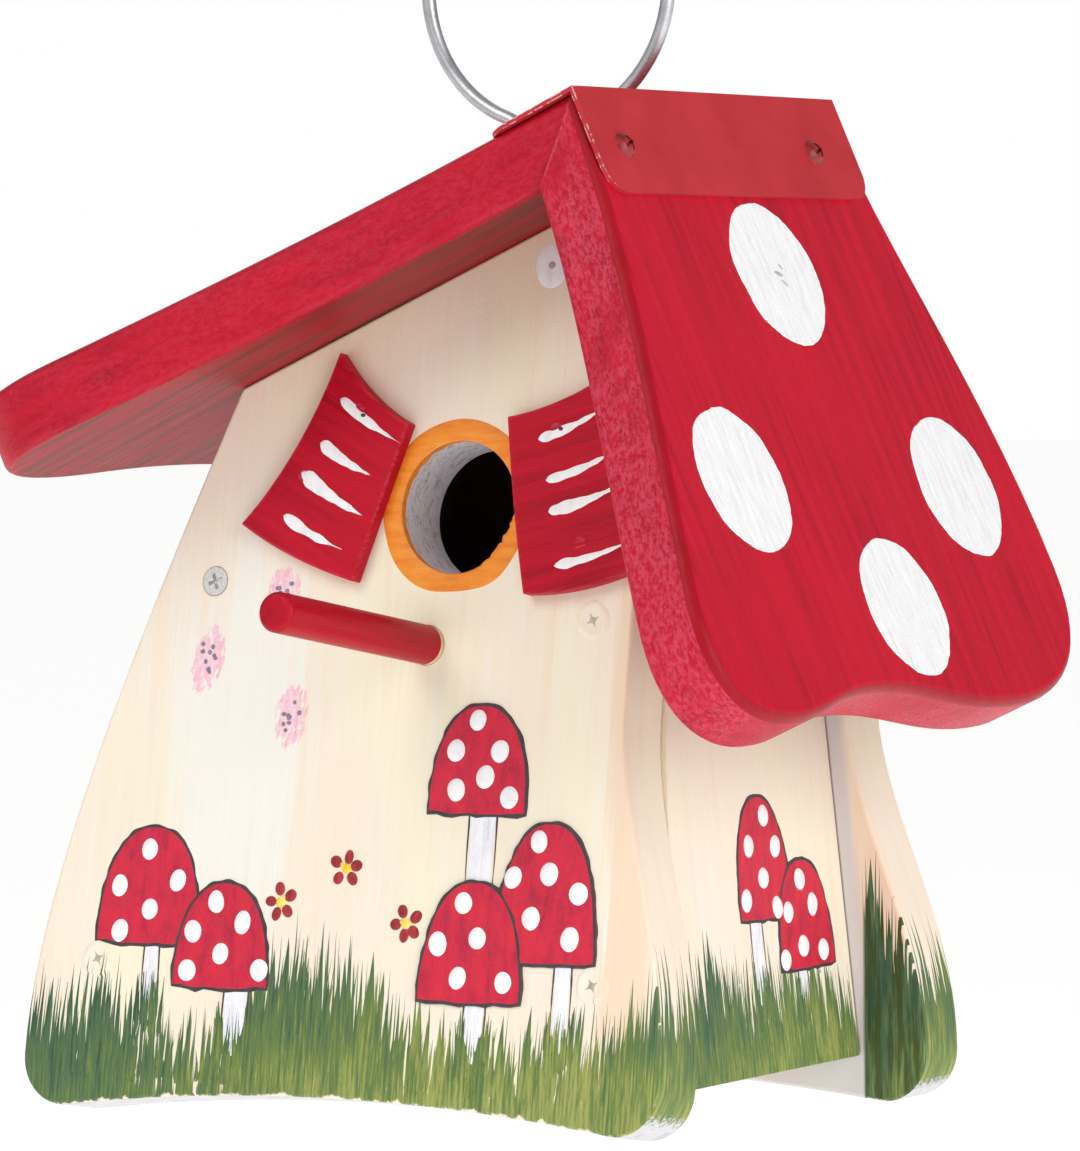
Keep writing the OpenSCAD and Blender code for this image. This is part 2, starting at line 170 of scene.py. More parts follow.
def roof_outline_right():
    """The right roof board as (down the slope, y), wavy along its lower edge."""
    n = RIGHT_LEN
    return (
        curve((0, RIDGE_Y[0]), (45, -65), (80, -82), (n - 33, -96))
        + curve((n - 33, -96), (n - 16, -101.5), (n - 2, -95), (n - 2, -72))
        + curve((n - 2, -72), (n - 2, -55), (n - 7, -50), (n - 7, -31))
        + curve((n - 7, -31), (n - 7, -5), (n, 5), (n, 33))
        + curve((n, 33), (n, 60), (n - 10, 79.5), (n - 33, 80))
        + curve((n - 33, 80), (75, 81), (30, 56), (0, RIDGE_Y[1]))
        + [Vector((0, RIDGE_Y[1]))]
    )


def roof_outline_left():
    """The left roof board as (down the slope, -y), wavy along its lower edge."""
    n = LEFT_LEN
    rows = (
        curve((0, RIDGE_Y[0]), (60, -62), (100, -70), (n - 33, -82))
        + curve((n - 33, -82), (n - 16, -86), (n, -80), (n, -52))
        + curve((n, -52), (n, -34), (n - 5, -28), (n - 5, 0))
        + curve((n - 5, 0), (n - 5, 28), (n, 34), (n, 50))
        + curve((n, 50), (n, 78), (n - 16, 84), (n - 33, 80))
        + curve((n - 33, 80), (100, 68), (60, 60), (0, RIDGE_Y[1]))
        + [Vector((0, RIDGE_Y[1]))]
    )
    return [Vector((p.x, -p.y)) for p in reversed(rows)]


SHUTTER_LEFT = list(reversed(
    curve((-10.5, 183), (-4.5, 175), (3, 169), (10.5, 165.7))
    + curve((10.5, 165.7), (6, 152), (2, 140), (-2, 127.7))
    + curve((-2, 127.7), (-13, 130.5), (-25, 135), (-35.4, 141.5))
    + curve((-35.4, 141.5), (-25, 152), (-16, 167), (-10.5, 183))
))
SHUTTER_RIGHT = list(reversed(
    curve((38, 167), (48, 168.5), (60, 173), (68, 179.5))
    + curve((68, 179.5), (68.5, 163), (71, 147), (76, 131))
    + curve((76, 131), (66, 127), (56, 125), (45.8, 125))
    + curve((45.8, 125), (42.5, 139), (40, 153), (38, 167))
))


# ---- Mesh tools ----

def bridge(bm, low, high):
    """Joins two rings of vertices with a band of faces."""
    for i in range(len(low)):
        j = (i + 1) % len(low)
        bm.faces.new((low[i], low[j], high[j], high[i]))


def prism(face, outline, bottom, top):
    """An outline drawn over a face, between two heights."""
    bm = bmesh.new()
    lower = [bm.verts.new(face.point(p[0], p[1], bottom)) for p in outline]
    upper = [bm.verts.new(face.point(p[0], p[1], top)) for p in outline]
    bm.faces.new(upper)
    bm.faces.new(list(reversed(lower)))
    bridge(bm, lower, upper)
    bmesh.ops.recalc_face_normals(bm, faces=bm.faces[:])
    return bm


def slice_off(bm, point, normal):
    """Cuts away what lies beyond a plane, on its normal's side, and closes the cut."""
    geom = bm.verts[:] + bm.edges[:] + bm.faces[:]
    cut = bmesh.ops.bisect_plane(bm, geom=geom, dist=1e-7, plane_co=Vector(point) * MM,
                                 plane_no=Vector(normal), clear_outer=True)["geom_cut"]
    edges = [e for e in cut if isinstance(e, bmesh.types.BMEdge)]
    if edges:
        bmesh.ops.edgenet_fill(bm, edges=edges)
    bmesh.ops.recalc_face_normals(bm, faces=bm.faces[:])


def round_edges(bm, radius, segments=3, chosen=lambda middle: True):
    """Rounds the sharp edges whose middle point is chosen."""
    sharp = [e for e in bm.edges if e.is_manifold and e.calc_face_angle() > math.radians(32)
             and chosen((e.verts[0].co + e.verts[1].co) / 2)]
    bmesh.ops.bevel(bm, geom=sharp, offset=radius * MM, offset_type="OFFSET", segments=segments,
                    profile=0.5, affect="EDGES", clamp_overlap=True)


def under_roof(bm):
    """Cuts a board off along the undersides of both roof boards."""
    slice_off(bm, APEX, (-math.sin(LEFT_SLOPE), 0, math.cos(LEFT_SLOPE)))
    slice_off(bm, APEX, (math.sin(RIGHT_SLOPE), 0, math.cos(RIGHT_SLOPE)))


def rod(face, u, v, r, bottom, top, sides=64):
    """A round cutter standing on a face."""
    circle = arc((u, v), r, 0, 360 - 360 / sides, sides - 1)
    return prism(face, circle, bottom, top)


def head_hole(face, u, v):
    """The round cutter for a sunk screw head."""
    return rod(face, u, v, HEAD_HOLE_R, -3, 2, sides=40)


def cut_out(bm, cutters):
    """Takes the cutters away from a solid, exactly."""
    target = new_object("cut_target", bm)
    tools = []
    for cutter in cutters:
        tool = new_object("cut_tool", cutter)
        tools.append(tool)
        cut = target.modifiers.new("cut", "BOOLEAN")
        cut.operation = "DIFFERENCE"
        cut.solver = "EXACT"
        cut.object = tool
    depsgraph = bpy.context.evaluated_depsgraph_get()
    mesh = bpy.data.meshes.new_from_object(target.evaluated_get(depsgraph))
    result = bmesh.new()
    result.from_mesh(mesh)
    for o in [target, *tools]:
        bpy.data.objects.remove(o)
    bpy.data.meshes.remove(mesh)
    return result


def new_object(name, bm):
    """An object from a finished bmesh, which is freed."""
    mesh = bpy.data.meshes.new(name)
    bm.to_mesh(mesh)
    bm.free()
    obj = bpy.data.objects.new(name, mesh)
    bpy.context.scene.collection.objects.link(obj)
    return obj


def piece(name, bm, materials, slot, body="house", zone=None, sharp=35, stands_for=()):
    """A finished piece: zone picks the material of each face from its centre and normal."""
    obj = new_object(name, bm)
    for material in materials:
        obj.data.materials.append(material)
    for polygon in obj.data.polygons:
        polygon.use_smooth = True
        if zone:
            polygon.material_index = zone(polygon.center, polygon.normal)
    obj.data.set_sharp_from_angle(angle=math.radians(sharp))
    shading = obj.modifiers.new("even_shading", "WEIGHTED_NORMAL")
    shading.keep_sharp = True
    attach(obj, body)
    if stands_for:
        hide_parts(*stands_for)
    return obj


# ---- Materials ----

class Graph:
    """A material being built: each method adds nodes and gives back a socket."""

    def __init__(self, name, roughness=0.5, metallic=0.0, specular=0.5):
        self.material = bpy.data.materials.new(name)
        self.material.use_nodes = True
        self.tree = self.material.node_tree
        self.tree.nodes.clear()
        self.shader = self.tree.nodes.new("ShaderNodeBsdfPrincipled")
        self.shader.inputs["Roughness"].default_value = roughness
        self.shader.inputs["Metallic"].default_value = metallic
        self.shader.inputs["Specular IOR Level"].default_value = specular
        self.surface = self.tree.nodes.new("ShaderNodeOutputMaterial").inputs[0]
        self.tree.links.new(self.shader.outputs[0], self.surface)

    def node(self, kind, inputs=None, **settings):
        """A new node; an input that is a socket is linked and any other is set."""
        made = self.tree.nodes.new(kind)
        for key, value in settings.items():
            setattr(made, key, value)
        for key, value in (inputs or {}).items():
            if isinstance(value, bpy.types.NodeSocket):
                self.tree.links.new(value, made.inputs[key])
            else:
                made.inputs[key].default_value = value
        return made

    def place(self, face):
        """Position in a face's own axes, in millimetres."""
        where = self.node("ShaderNodeTexCoord").outputs["Object"]
        return self.node("ShaderNodeMapping", {
            "Vector": where, "Location": face.origin * MM, "Rotation": face.turn(),
            "Scale": (MM, MM, MM)}, vector_type="TEXTURE").outputs[0]

    def stretch(self, at, scale, shift=(0, 0, 0)):
        """A position scaled along each axis, so that noise over it draws out into streaks."""
        return self.node("ShaderNodeMapping", {"Vector": at, "Scale": scale, "Location": shift}).outputs[0]

    def split(self, at):
        return self.node("ShaderNodeSeparateXYZ", {"Vector": at}).outputs

    def noise(self, at, scale=1.0, detail=3.0, roughness=0.55, distortion=0.0):
        return self.node("ShaderNodeTexNoise", {
            "Vector": at, "Scale": scale, "Detail": detail, "Roughness": roughness,
            "Distortion": distortion}).outputs["Fac"]

    def math(self, operation, a, b=0.0, clamp=False):
        return self.node("ShaderNodeMath", {0: a, 1: b}, operation=operation, use_clamp=clamp).outputs[0]

    def plus(self, a, b):
        return self.math("ADD", a, b)

    def minus(self, a, b):
        return self.math("SUBTRACT", a, b)

    def times(self, a, b, clamp=False):
        return self.math("MULTIPLY", a, b, clamp=clamp)

    def over(self, a, b, clamp=False):
        return self.math("DIVIDE", a, b, clamp=clamp)

    def larger(self, a, b):
        return self.math("MAXIMUM", a, b)

    def band(self, value, low, high):
        """0 below low, 1 above high, smooth between; the other way round if low is above high."""
        flip = low > high
        low, high = min(low, high), max(low, high)
        made = self.node("ShaderNodeMapRange", {
            "Value": value, "From Min": low, "From Max": high, "To Min": float(flip),
            "To Max": float(not flip)}, interpolation_type="SMOOTHSTEP")
        return made.outputs[0]

    def ramp(self, fac, stops):
        """A colour ramp: stops are (position, colour)."""
        made = self.node("ShaderNodeValToRGB", {"Fac": fac})
        elements = made.color_ramp.elements
        while len(elements) < len(stops):
            elements.new(0.5)
        for element, (at, colour) in zip(elements, stops):
            element.position = at
            element.color = (*colour, 1)
        return made.outputs[0]

    def mix(self, fac, a, b, blend="MIX"):
        """Colour a where fac is 0 and b where it is 1."""
        def full(colour):
            return colour if isinstance(colour, bpy.types.NodeSocket) else (*colour, 1)
        return self.node("ShaderNodeMix", {0: fac, 6: full(a), 7: full(b)},
                         data_type="RGBA", blend_type=blend).outputs[2]

    def tint(self, colour, other, mask, amount):
        """A colour laid over another where the mask is 1, at a strength."""
        return self.mix(self.times(mask, amount), colour, other)

    def curve(self, value, points, low, high, top):
        """A drawn height over a value: points are (value, height)."""
        share = self.over(self.minus(value, low), high - low, clamp=True)
        made = self.node("ShaderNodeFloatCurve", {"Value": share})
        drawn = made.mapping.curves[0].points
        while len(drawn) < len(points):
            drawn.new(0.5, 0.5)
        for point, (x, y) in zip(drawn, points):
            point.location = ((x - low) / (high - low), y / top)
        made.mapping.update()
        return self.times(made.outputs[0], top)

    def bump(self, height, distance, strength):
        """A normal that follows a height of 0 to 1 over a distance in millimetres."""
        return self.node("ShaderNodeBump", {
            "Height": height, "Distance": distance * MM, "Strength": strength}).outputs[0]

    def edge(self, radius):
        """1 on worn edges: where a rounded normal turns away from the true one."""
        soft = self.node("ShaderNodeBevel", {"Radius": radius * MM}, samples=4).outputs[0]
        true = self.node("ShaderNodeNewGeometry").outputs["Normal"]
        dot = self.node("ShaderNodeVectorMath", {0: soft, 1: true}, operation="DOT_PRODUCT").outputs["Value"]
        return self.minus(1.0, dot)

    def finish(self, colour, roughness, normal):
        """The finished material; roughness may be a plain number."""
        self.tree.links.new(colour, self.shader.inputs["Base Color"])
        self.tree.links.new(normal, self.shader.inputs["Normal"])
        if isinstance(roughness, bpy.types.NodeSocket):
            self.tree.links.new(roughness, self.shader.inputs["Roughness"])
        else:
            self.shader.inputs["Roughness"].default_value = roughness
        return self.material


TALLEST_GRASS = 70
CREAM = (0.90, 0.80, 0.66)
CREAM_WHITE = (0.88, 0.87, 0.80)
CREAM_YELLOW = (0.92, 0.86, 0.66)
# Bare wood in grey-lilac as painted shade.
BARE_AND_SHADE_LILAC = (0.62, 0.60, 0.63)
PEACH = (0.87, 0.66, 0.47)
PEACH_DEEP = (0.84, 0.52, 0.30)
GRASS_DEEP = (0.030, 0.085, 0.040)
GRASS_DARK = (0.075, 0.145, 0.070)
GRASS_MID = (0.135, 0.205, 0.050)
GRASS_LIGHT = (0.34, 0.37, 0.10)
GRASS_OLIVE = (0.040, 0.058, 0.004)
SEAM_SHADOW = (0.16, 0.12, 0.11)
# Near-black brown: painted shade on the wood inside the box.
INSIDE_SHADE_BROWN = (0.10, 0.035, 0.02)
CRIMSON_DARK = (0.35, 0.001, 0.014)
CRIMSON = (0.49, 0.002, 0.021)
CRIMSON_BRIGHT = (0.58, 0.004, 0.028)
CRIMSON_WARM = (0.58, 0.003, 0.022)
CRIMSON_SHADE = (0.26, 0.002, 0.008)
PORE_PINK = (0.70, 0.07, 0.10)
STIPPLE_PINK = (0.68, 0.09, 0.16)
WORN_PINK = (0.72, 0.12, 0.17)
# Wood showing through thin paint on the undersides, darkened as painted shade.
UNDERSIDE_WOOD_AND_SHADE = (0.15, 0.022, 0.016)


def grass_colour(g, at, shade):
    """Streaky brushed greens: bluish and dark to yellow; shade above 0.5 leans to the yellow ones."""
    streak = g.noise(g.stretch(at, (1.3, 0.06, 1.3)), detail=5, roughness=0.75)
    clump = g.noise(g.stretch(at, (0.11, 0.03, 0.11), (7, 3, 1)), detail=2)
    tone = g.plus(g.times(streak, 0.80), g.times(clump, 0.30))
    tone = g.plus(tone, g.times(g.minus(shade, 0.56), 0.25))
    return g.ramp(tone, [(0.38, GRASS_DEEP), (0.48, GRASS_DARK), (0.59, GRASS_MID), (0.72, GRASS_LIGHT)])


def grass_mask(g, at, across, profile, foot):
    """1 where painted blades cover the wood, between a ragged foot line and a drawn height."""
    u, v, n = g.split(at)
    along = g.plus(u, n)
    wander = g.noise(g.stretch(at, (0.03, 0.02, 0.03)), detail=1)
    bent = g.plus(along, g.times(g.minus(wander, 0.5),
                                       g.times(v, 0.14)))
    low, high = profile[0][0], profile[-1][0]
    reach = g.curve(across, profile, low, high, TALLEST_GRASS)
    uneven = g.times(g.noise(g.stretch(at, (0.9, 0.05, 0.9), (6, 1, 2)), detail=3), 34)
    masks = [g.times(g.minus(g.minus(reach, uneven), v), 0.9, clamp=True)]
    for width, drop, shift in ((3.4, 34, 0), (2.1, 46, 11.3), (1.2, 60, 4.7)):
        cell = g.node("ShaderNodeTexVoronoi", {
            "W": g.plus(bent, shift), "Scale": 1 / width, "Randomness": 0.9},
            voronoi_dimensions="1D").outputs
        luck = g.split(cell["Color"])[0]
        tip = g.plus(reach, g.times(g.minus(luck, 0.62), 17))
        left = g.minus(g.minus(tip, v), g.times(cell["Distance"], drop))
        masks.append(g.times(left, 1.5, clamp=True))
    cover = masks[0]
    for mask in masks[1:]:
        cover = g.larger(cover, mask)
    if foot:
        share = g.over(across, foot[0])
        arch = g.times(g.minus(1.0, g.times(share, share)), foot[1])
        above = g.minus(v, g.larger(arch, 0.0))
        ragged = g.times(g.noise(g.stretch(at, (0.30, 0.10, 0.30), (4, 4, 4)), detail=4), 5.0)
        cover = g.times(cover, g.band(g.minus(above, ragged), -2.5, -1.9))
    return cover


def cream_paint(name, face, profile, peach_top=0.0, white_patch=None, edge_band=None, inside=False,
                foot=None, joint=False, strip=False, deep=0.0):
    """Brushed cream paint on wood, with warm tints, worn edges and painted grass along the foot.

    A strip is the narrow side of a board: its marks run along it and its foot is bare, in grey-lilac as
    painted shade."""
    g = Graph(name, roughness=0.6, specular=0.35)
    at = g.place(face)
    u, v, _ = g.split(at)
    if strip:
        at = g.stretch(at, (0.0, 1.0, 1.0), (0, 7, 0))
    fine = g.noise(g.stretch(at, (1.5, 0.035, 1.5)), detail=4, roughness=0.6)
    brush = g.noise(g.stretch(at, (0.30, 0.012, 0.30), (3, 1, 8)), detail=3, roughness=0.6)
    broad = g.noise(g.stretch(at, (0.020, 0.011, 0.020), (2, 5, 1)), detail=2)
    colour = g.mix(g.band(broad, 0.42, 0.64), CREAM, CREAM_YELLOW)
    colour = g.tint(colour, PEACH, g.band(brush, 0.50, 0.76), 0.32)
    colour = g.tint(colour, CREAM_WHITE, g.band(brush, 0.46, 0.28), 0.5)
    if white_patch:
        across = g.over(g.minus(u, white_patch[0]), white_patch[2])
        along = g.over(g.minus(v, white_patch[1]), white_patch[3])
        far = g.plus(g.times(across, across), g.times(along, along))
        blotch = g.plus(far, g.times(g.minus(brush, 0.5), 2.2))
        colour = g.tint(colour, CREAM_WHITE, g.band(blotch, 1.2, 0.3), 0.85)
    if peach_top:
        height = g.plus(v, g.times(g.minus(broad, 0.5), 70))
        colour = g.tint(colour, PEACH, g.band(height, 165, 230), peach_top)
    if edge_band:
        wavy = g.plus(u, g.times(g.minus(brush, 0.5), 14))
        band = g.times(g.band(wavy, edge_band[0] - 4, edge_band[0]),
                      g.band(wavy, edge_band[1] + 4, edge_band[1]))
        colour = g.tint(colour, PEACH, band, 0.7)
    streak = g.times(g.minus(fine, 0.5), 0.09)
    colour = g.mix(0.9, colour, g.node("ShaderNodeCombineColor", {
        0: g.plus(0.97, streak), 1: g.plus(0.97, streak),
        2: g.plus(0.97, streak)}).outputs[0], "MULTIPLY")
    worn = g.times(g.band(g.edge(1.4), 0.02, 0.10), g.band(brush, 0.40, 0.60))
    colour = g.tint(colour, PEACH_DEEP, worn, 0.55)
    from_left = g.minus(g.minus(u, LEFT_OUT_X), g.times(v, math.tan(LEFT_LEAN)))
    from_right = g.plus(g.minus(u, RIGHT_OUT_X), g.times(v, math.tan(RIGHT_LEAN)))
    # Between the walls the wood is darkened to near-black brown as painted shade inside the box.
    if inside:
        within = g.times(g.band(from_left, 7, 8), g.band(from_right, -7, -8))
        within = g.times(within, g.band(v, 21, 24))
        colour = g.mix(within, colour, INSIDE_SHADE_BROWN)
    # Beside the wall joint: bare wood in grey-lilac as painted shade, and a painted shadow along the seam.
    if joint:
        beside = g.times(g.band(from_right, -2, -1), g.band(from_right, 6, 3))
        under = g.times(g.band(v, 13, 11), g.band(from_right, 6, 3))
        colour = g.tint(colour, BARE_AND_SHADE_LILAC, g.larger(beside, under), 0.8)
        seam = g.times(g.times(g.band(from_right, -2, -1), g.band(from_right, 0.5, 0.1)),
                      g.band(v, 11, 13))
        colour = g.tint(colour, SEAM_SHADOW, seam, 0.7)
    relief = g.plus(g.times(fine, 0.6), g.times(brush, 0.4))
    grit = g.noise(at, scale=1.1, detail=4, roughness=0.7)
    relief = g.plus(relief, g.times(grit, 0.5))
    rough = g.plus(0.50, g.times(fine, 0.2))
    if profile:
        mask = grass_mask(g, at, u, profile, foot)
        if joint:
            climb = g.times(v, 0.11)
            clear = g.larger(g.band(g.minus(from_right, climb), -0.5, 0.5),
                           g.band(from_left, 0.5, -0.5))
            mask = g.times(mask, clear)
        if strip:
            bare = g.minus(g.times(grit, 12), 1.5)
            mask = g.times(mask, g.band(g.minus(v, bare), -0.5, 0.8))
            # The strip's bare foot in grey-lilac as painted shade.
            colour = g.mix(g.band(v, 10, 7), colour, BARE_AND_SHADE_LILAC)
        shade = g.band(v, 34, 2)
        side = g.band(u, -70, 30)
        tone = g.plus(g.times(shade, 0.5), g.times(side, 0.5 - 0.6 * deep))
        green = grass_colour(g, at, tone)
        if deep:
            olive = g.band(g.noise(g.stretch(at, (0.5, 0.05, 0.5), (8, 2, 5)), detail=3), 0.56, 0.42)
            green = g.tint(green, GRASS_OLIVE, olive, deep)
        colour = g.mix(mask, colour, green)
        relief = g.plus(relief, g.times(mask, 0.9))
    return g.finish(colour, rough, g.bump(relief, 0.30, 0.55))


def crimson_paint(name, face, grain, pale=0.0, deep=0.0, brown=0.0, stipple=0.0, gloss=0.42):
    """Crimson paint over visible grain: pale adds dry pink brushing, brown lets the wood show through,
    darkened as painted shade, and deep mixes in a darker crimson as painted shade.
    """
    g = Graph(name, roughness=gloss, specular=0.18)
    at = g.place(face)
    fine = g.noise(g.stretch(at, tuple(1.1 * k for k in grain)), detail=5, roughness=0.65)
    streak = g.noise(g.stretch(at, tuple(0.25 * k for k in grain), (5, 2, 7)), detail=3, roughness=0.6)
    broad = g.noise(at, scale=0.02, detail=2)
    colour = g.ramp(streak, [(0.30, CRIMSON_DARK), (0.50, CRIMSON), (0.70, CRIMSON_BRIGHT)])
    colour = g.tint(colour, CRIMSON_WARM, g.band(broad, 0.40, 0.66), 0.5)
    pore = g.band(fine, 0.60, 0.74)
    colour = g.tint(colour, PORE_PINK, pore, 0.06 + 0.25 * pale)
    # deep mixes in a darker crimson as painted shade.
    if deep:
        colour = g.mix(deep, colour, CRIMSON_SHADE)
    if stipple:
        speck = g.noise(g.stretch(at, (0.5, 1.0, 1.0)), detail=5, roughness=0.8)
        cloud = g.noise(g.stretch(at, (0.03, 0.06, 0.06), (1, 6, 2)), detail=2)
        amount = g.times(g.band(speck, 0.40, 0.60), g.band(cloud, 0.24, 0.56))
        colour = g.tint(colour, STIPPLE_PINK, amount, stipple)
    if pale:
        worn = g.band(g.edge(1.6), 0.015, 0.09)
        dry = g.band(g.noise(g.stretch(at, tuple(0.7 * k for k in grain), (2, 9, 4)), detail=4), 0.40, 0.58)
        colour = g.tint(colour, WORN_PINK, g.times(worn, dry), pale)
    # On the undersides the wood shows through, darkened as painted shade.
    if brown:
        bare = g.band(streak, 0.42, 0.62)
        colour = g.tint(colour, UNDERSIDE_WOOD_AND_SHADE, bare, brown)
    rough = g.plus(gloss - 0.08, g.times(fine, 0.25))
    relief = g.plus(fine, g.times(streak, 0.5))
    return g.finish(colour, rough, g.bump(relief, 0.30, 0.5))


def raised_paint(name, tints, scale=(0.5, 0.12, 0.5), face=FRONT, relief=0.22):
    """Thick artist's paint: a few close tints in brush streaks, with a rough skin."""
    roughness = 0.42
    g = Graph(name, roughness=roughness, specular=0.45)
    at = g.place(face)
    streak = g.noise(g.stretch(at, scale), detail=4, roughness=0.65)
    skin = g.noise(at, scale=1.3, detail=4, roughness=0.7)
    stops = [(0.34 + 0.30 * i / (len(tints) - 1), tint) for i, tint in enumerate(tints)]
    tone = g.plus(g.times(streak, 0.75), g.times(skin, 0.25))
    colour = g.ramp(tone, stops)
    height = g.plus(streak, g.times(skin, 0.8))
    rough = g.plus(roughness - 0.08, g.times(skin, 0.2))
    return g.finish(colour, rough, g.bump(height, relief, 0.6))


def bare_wood(name, face, dark=0.0):
    """Unpainted softwood with drawn-out rings and pores; dark mixes in a near-black brown as painted shade.
    """
    g = Graph(name, roughness=0.75, specular=0.25)
    at = g.place(face)
    ring = g.noise(g.stretch(at, (0.35, 0.012, 0.35)), detail=4, roughness=0.6, distortion=0.4)
    pore = g.noise(g.stretch(at, (2.2, 0.06, 2.2)), detail=3)
    colour = g.ramp(ring, [(0.34, (0.72, 0.52, 0.31)), (0.52, (0.80, 0.63, 0.41)),
                           (0.70, (0.62, 0.40, 0.20))])
    colour = g.tint(colour, (0.50, 0.32, 0.17), g.band(pore, 0.56, 0.72), 0.4)
    if dark:
        colour = g.mix(dark, colour, (0.06, 0.02, 0.012))
    return g.finish(colour, g.plus(0.62, g.times(pore, 0.2)), g.bump(ring, 0.25, 0.6))


def bore_paint():
    """Rough grey-white primer over torn wood fibres inside the entrance."""
    g = Graph("bore_primer", roughness=0.8, specular=0.2)
    at = g.place(FRONT)
    torn = g.noise(g.stretch(at, (0.35, 0.35, 0.6)), detail=6, roughness=0.75)
    colour = g.ramp(torn, [(0.36, (0.60, 0.52, 0.48)), (0.46, (0.88, 0.86, 0.90)),
                           (0.64, (0.94, 0.93, 0.97))])
    return g.finish(colour, 0.8, g.bump(torn, 1.1, 1.0))


def sheet_paint():
    """Matt crimson paint on sheet, with small chips along the edges."""
    g = Graph("cap_paint", roughness=0.5, specular=0.25)
    at = g.place(ROOF_RIGHT)
    cloud = g.noise(at, scale=0.05, detail=3)
    grain = g.noise(at, scale=2.4, detail=3, roughness=0.7)
    colour = g.ramp(cloud, [(0.35, (0.44, 0.018, 0.027)), (0.65, (0.51, 0.026, 0.036))])
    edge = g.band(g.edge(0.7), 0.05, 0.2)
    chip = g.times(edge, g.band(g.noise(at, scale=0.32, detail=4, roughness=0.7), 0.50, 0.56))
    chip = g.times(chip, g.band(g.split(at)[1], -60, -62))
    colour = g.tint(colour, (0.66, 0.10, 0.12), edge, 0.15)
    colour = g.mix(chip, colour, (0.72, 0.66, 0.64))
    return g.finish(colour, g.plus(0.44, g.times(grain, 0.16)), g.bump(grain, 0.06, 0.5))


def painted_head():
    """Crimson paint over a pan head, thin on its rim, darker than the cap's paint as painted shade."""
    g = Graph("painted_head", roughness=0.4, specular=0.5)
    at = g.place(ROOF_RIGHT)
    blotch = g.noise(at, scale=0.7, detail=4)
    edge = g.band(g.edge(0.4), 0.06, 0.25)
    # Darker than the cap's paint: painted shade for the heads' shaded sides.
    colour = g.ramp(blotch, [(0.36, (0.17, 0.004, 0.008)), (0.60, (0.32, 0.012, 0.018))])
    colour = g.tint(colour, (0.55, 0.10, 0.10), edge, 0.2)
    return g.finish(colour, g.plus(0.32, g.times(blotch, 0.2)), g.bump(blotch, 0.1, 0.5))


def zinc(name, painted_away_from=None):
    """Zinc-plated steel; away from one bright head, paint covers the rest, with an olive-grey painted shade
    deep in their recesses.
    """
    g = Graph(name, roughness=0.34, metallic=1.0)
    at = g.place(FRONT)
    turning = g.noise(at, scale=1.6, detail=4)
    colour = g.ramp(turning, [(0.36, (0.74, 0.73, 0.71)), (0.62, (0.92, 0.92, 0.91))])
    rough = g.plus(0.36, g.times(turning, 0.2))
    if painted_away_from:
        u, v, n = g.split(at)
        du = g.math("ABSOLUTE", g.minus(u, painted_away_from[0]))
        dv = g.math("ABSOLUTE", g.minus(v, painted_away_from[1]))
        covered = g.band(g.plus(du, dv), 9, 11)
        # Deep in the recesses the paint turns olive-grey as painted shade.
        deep = g.band(n, -0.15, -0.5)
        paint = g.mix(deep, g.mix(turning, CREAM, CREAM_YELLOW), (0.36, 0.33, 0.26))
        colour = g.mix(covered, colour, paint)
        metal = g.minus(1.0, covered)
        g.tree.links.new(metal, g.shader.inputs["Metallic"])
        rough = g.plus(rough, g.times(covered, 0.3))
    return g.finish(colour, rough, g.bump(turning, 0.08, 0.5))


def drawn_wire():
    """Dull drawn aluminium: faint lines along the wire and small scuffs."""
    g = Graph("wire_aluminium", roughness=0.38, metallic=1.0)
    at = g.place(BACK_IN)
    cloud = g.noise(at, scale=0.12, detail=3)
    scuff = g.noise(at, scale=0.9, detail=4, roughness=0.6)
    colour = g.ramp(cloud, [(0.35, (0.44, 0.45, 0.47)), (0.65, (0.60, 0.61, 0.63))])
    colour = g.tint(colour, (0.34, 0.34, 0.35), g.band(scuff, 0.60, 0.72), 0.3)
    return g.finish(colour, g.plus(0.34, g.times(scuff, 0.16)), g.bump(scuff, 0.02, 0.4))


def grass_paint(name, face, lift):
    """The green of the raised brush marks; lift leans it to yellow."""
    g = Graph(name, roughness=0.5, specular=0.3)
    at = g.place(face)
    u, v, _ = g.split(at)
    tone = g.plus(g.times(g.band(v, 34, 2), 0.5), g.times(g.band(u, -70, 30), 0.5))
    skin = g.noise(g.stretch(at, (1.6, 0.1, 1.6)), detail=4)
    colour = grass_colour(g, at, g.plus(tone, lift))
    return g.finish(colour, g.plus(0.42, g.times(skin, 0.2)), g.bump(skin, 0.2, 0.6))


# Grass heights as (across the face, height).
GRASS_FRONT = [(-92, 33), (-74, 31), (-66, 34), (-57, 25), (-46, 22), (-31, 22), (-22, 37), (-12, 45),
               (-1, 41), (10, 36), (20, 27), (40, 25), (56, 24), (68, 27), (78, 31), (92, 40)]
GRASS_WALL = [(-60, 44), (-44, 44), (-34, 46), (-20, 41), (0, 38), (20, 37), (32, 35), (42, 30), (50, 29)]
GRASS_BACK_IN = [(-105, 38), (-60, 30), (0, 30), (60, 34), (78, 50), (86, 57), (92, 52), (100, 46), (105, 44)]
GRASS_STRIP = [(-105, 48), (0, 44), (105, 50)]
GRASS_PLAIN = [(-105, 44), (-80, 33), (-55, 38), (-30, 29), (0, 36), (30, 28), (60, 37), (85, 32), (105, 42)]

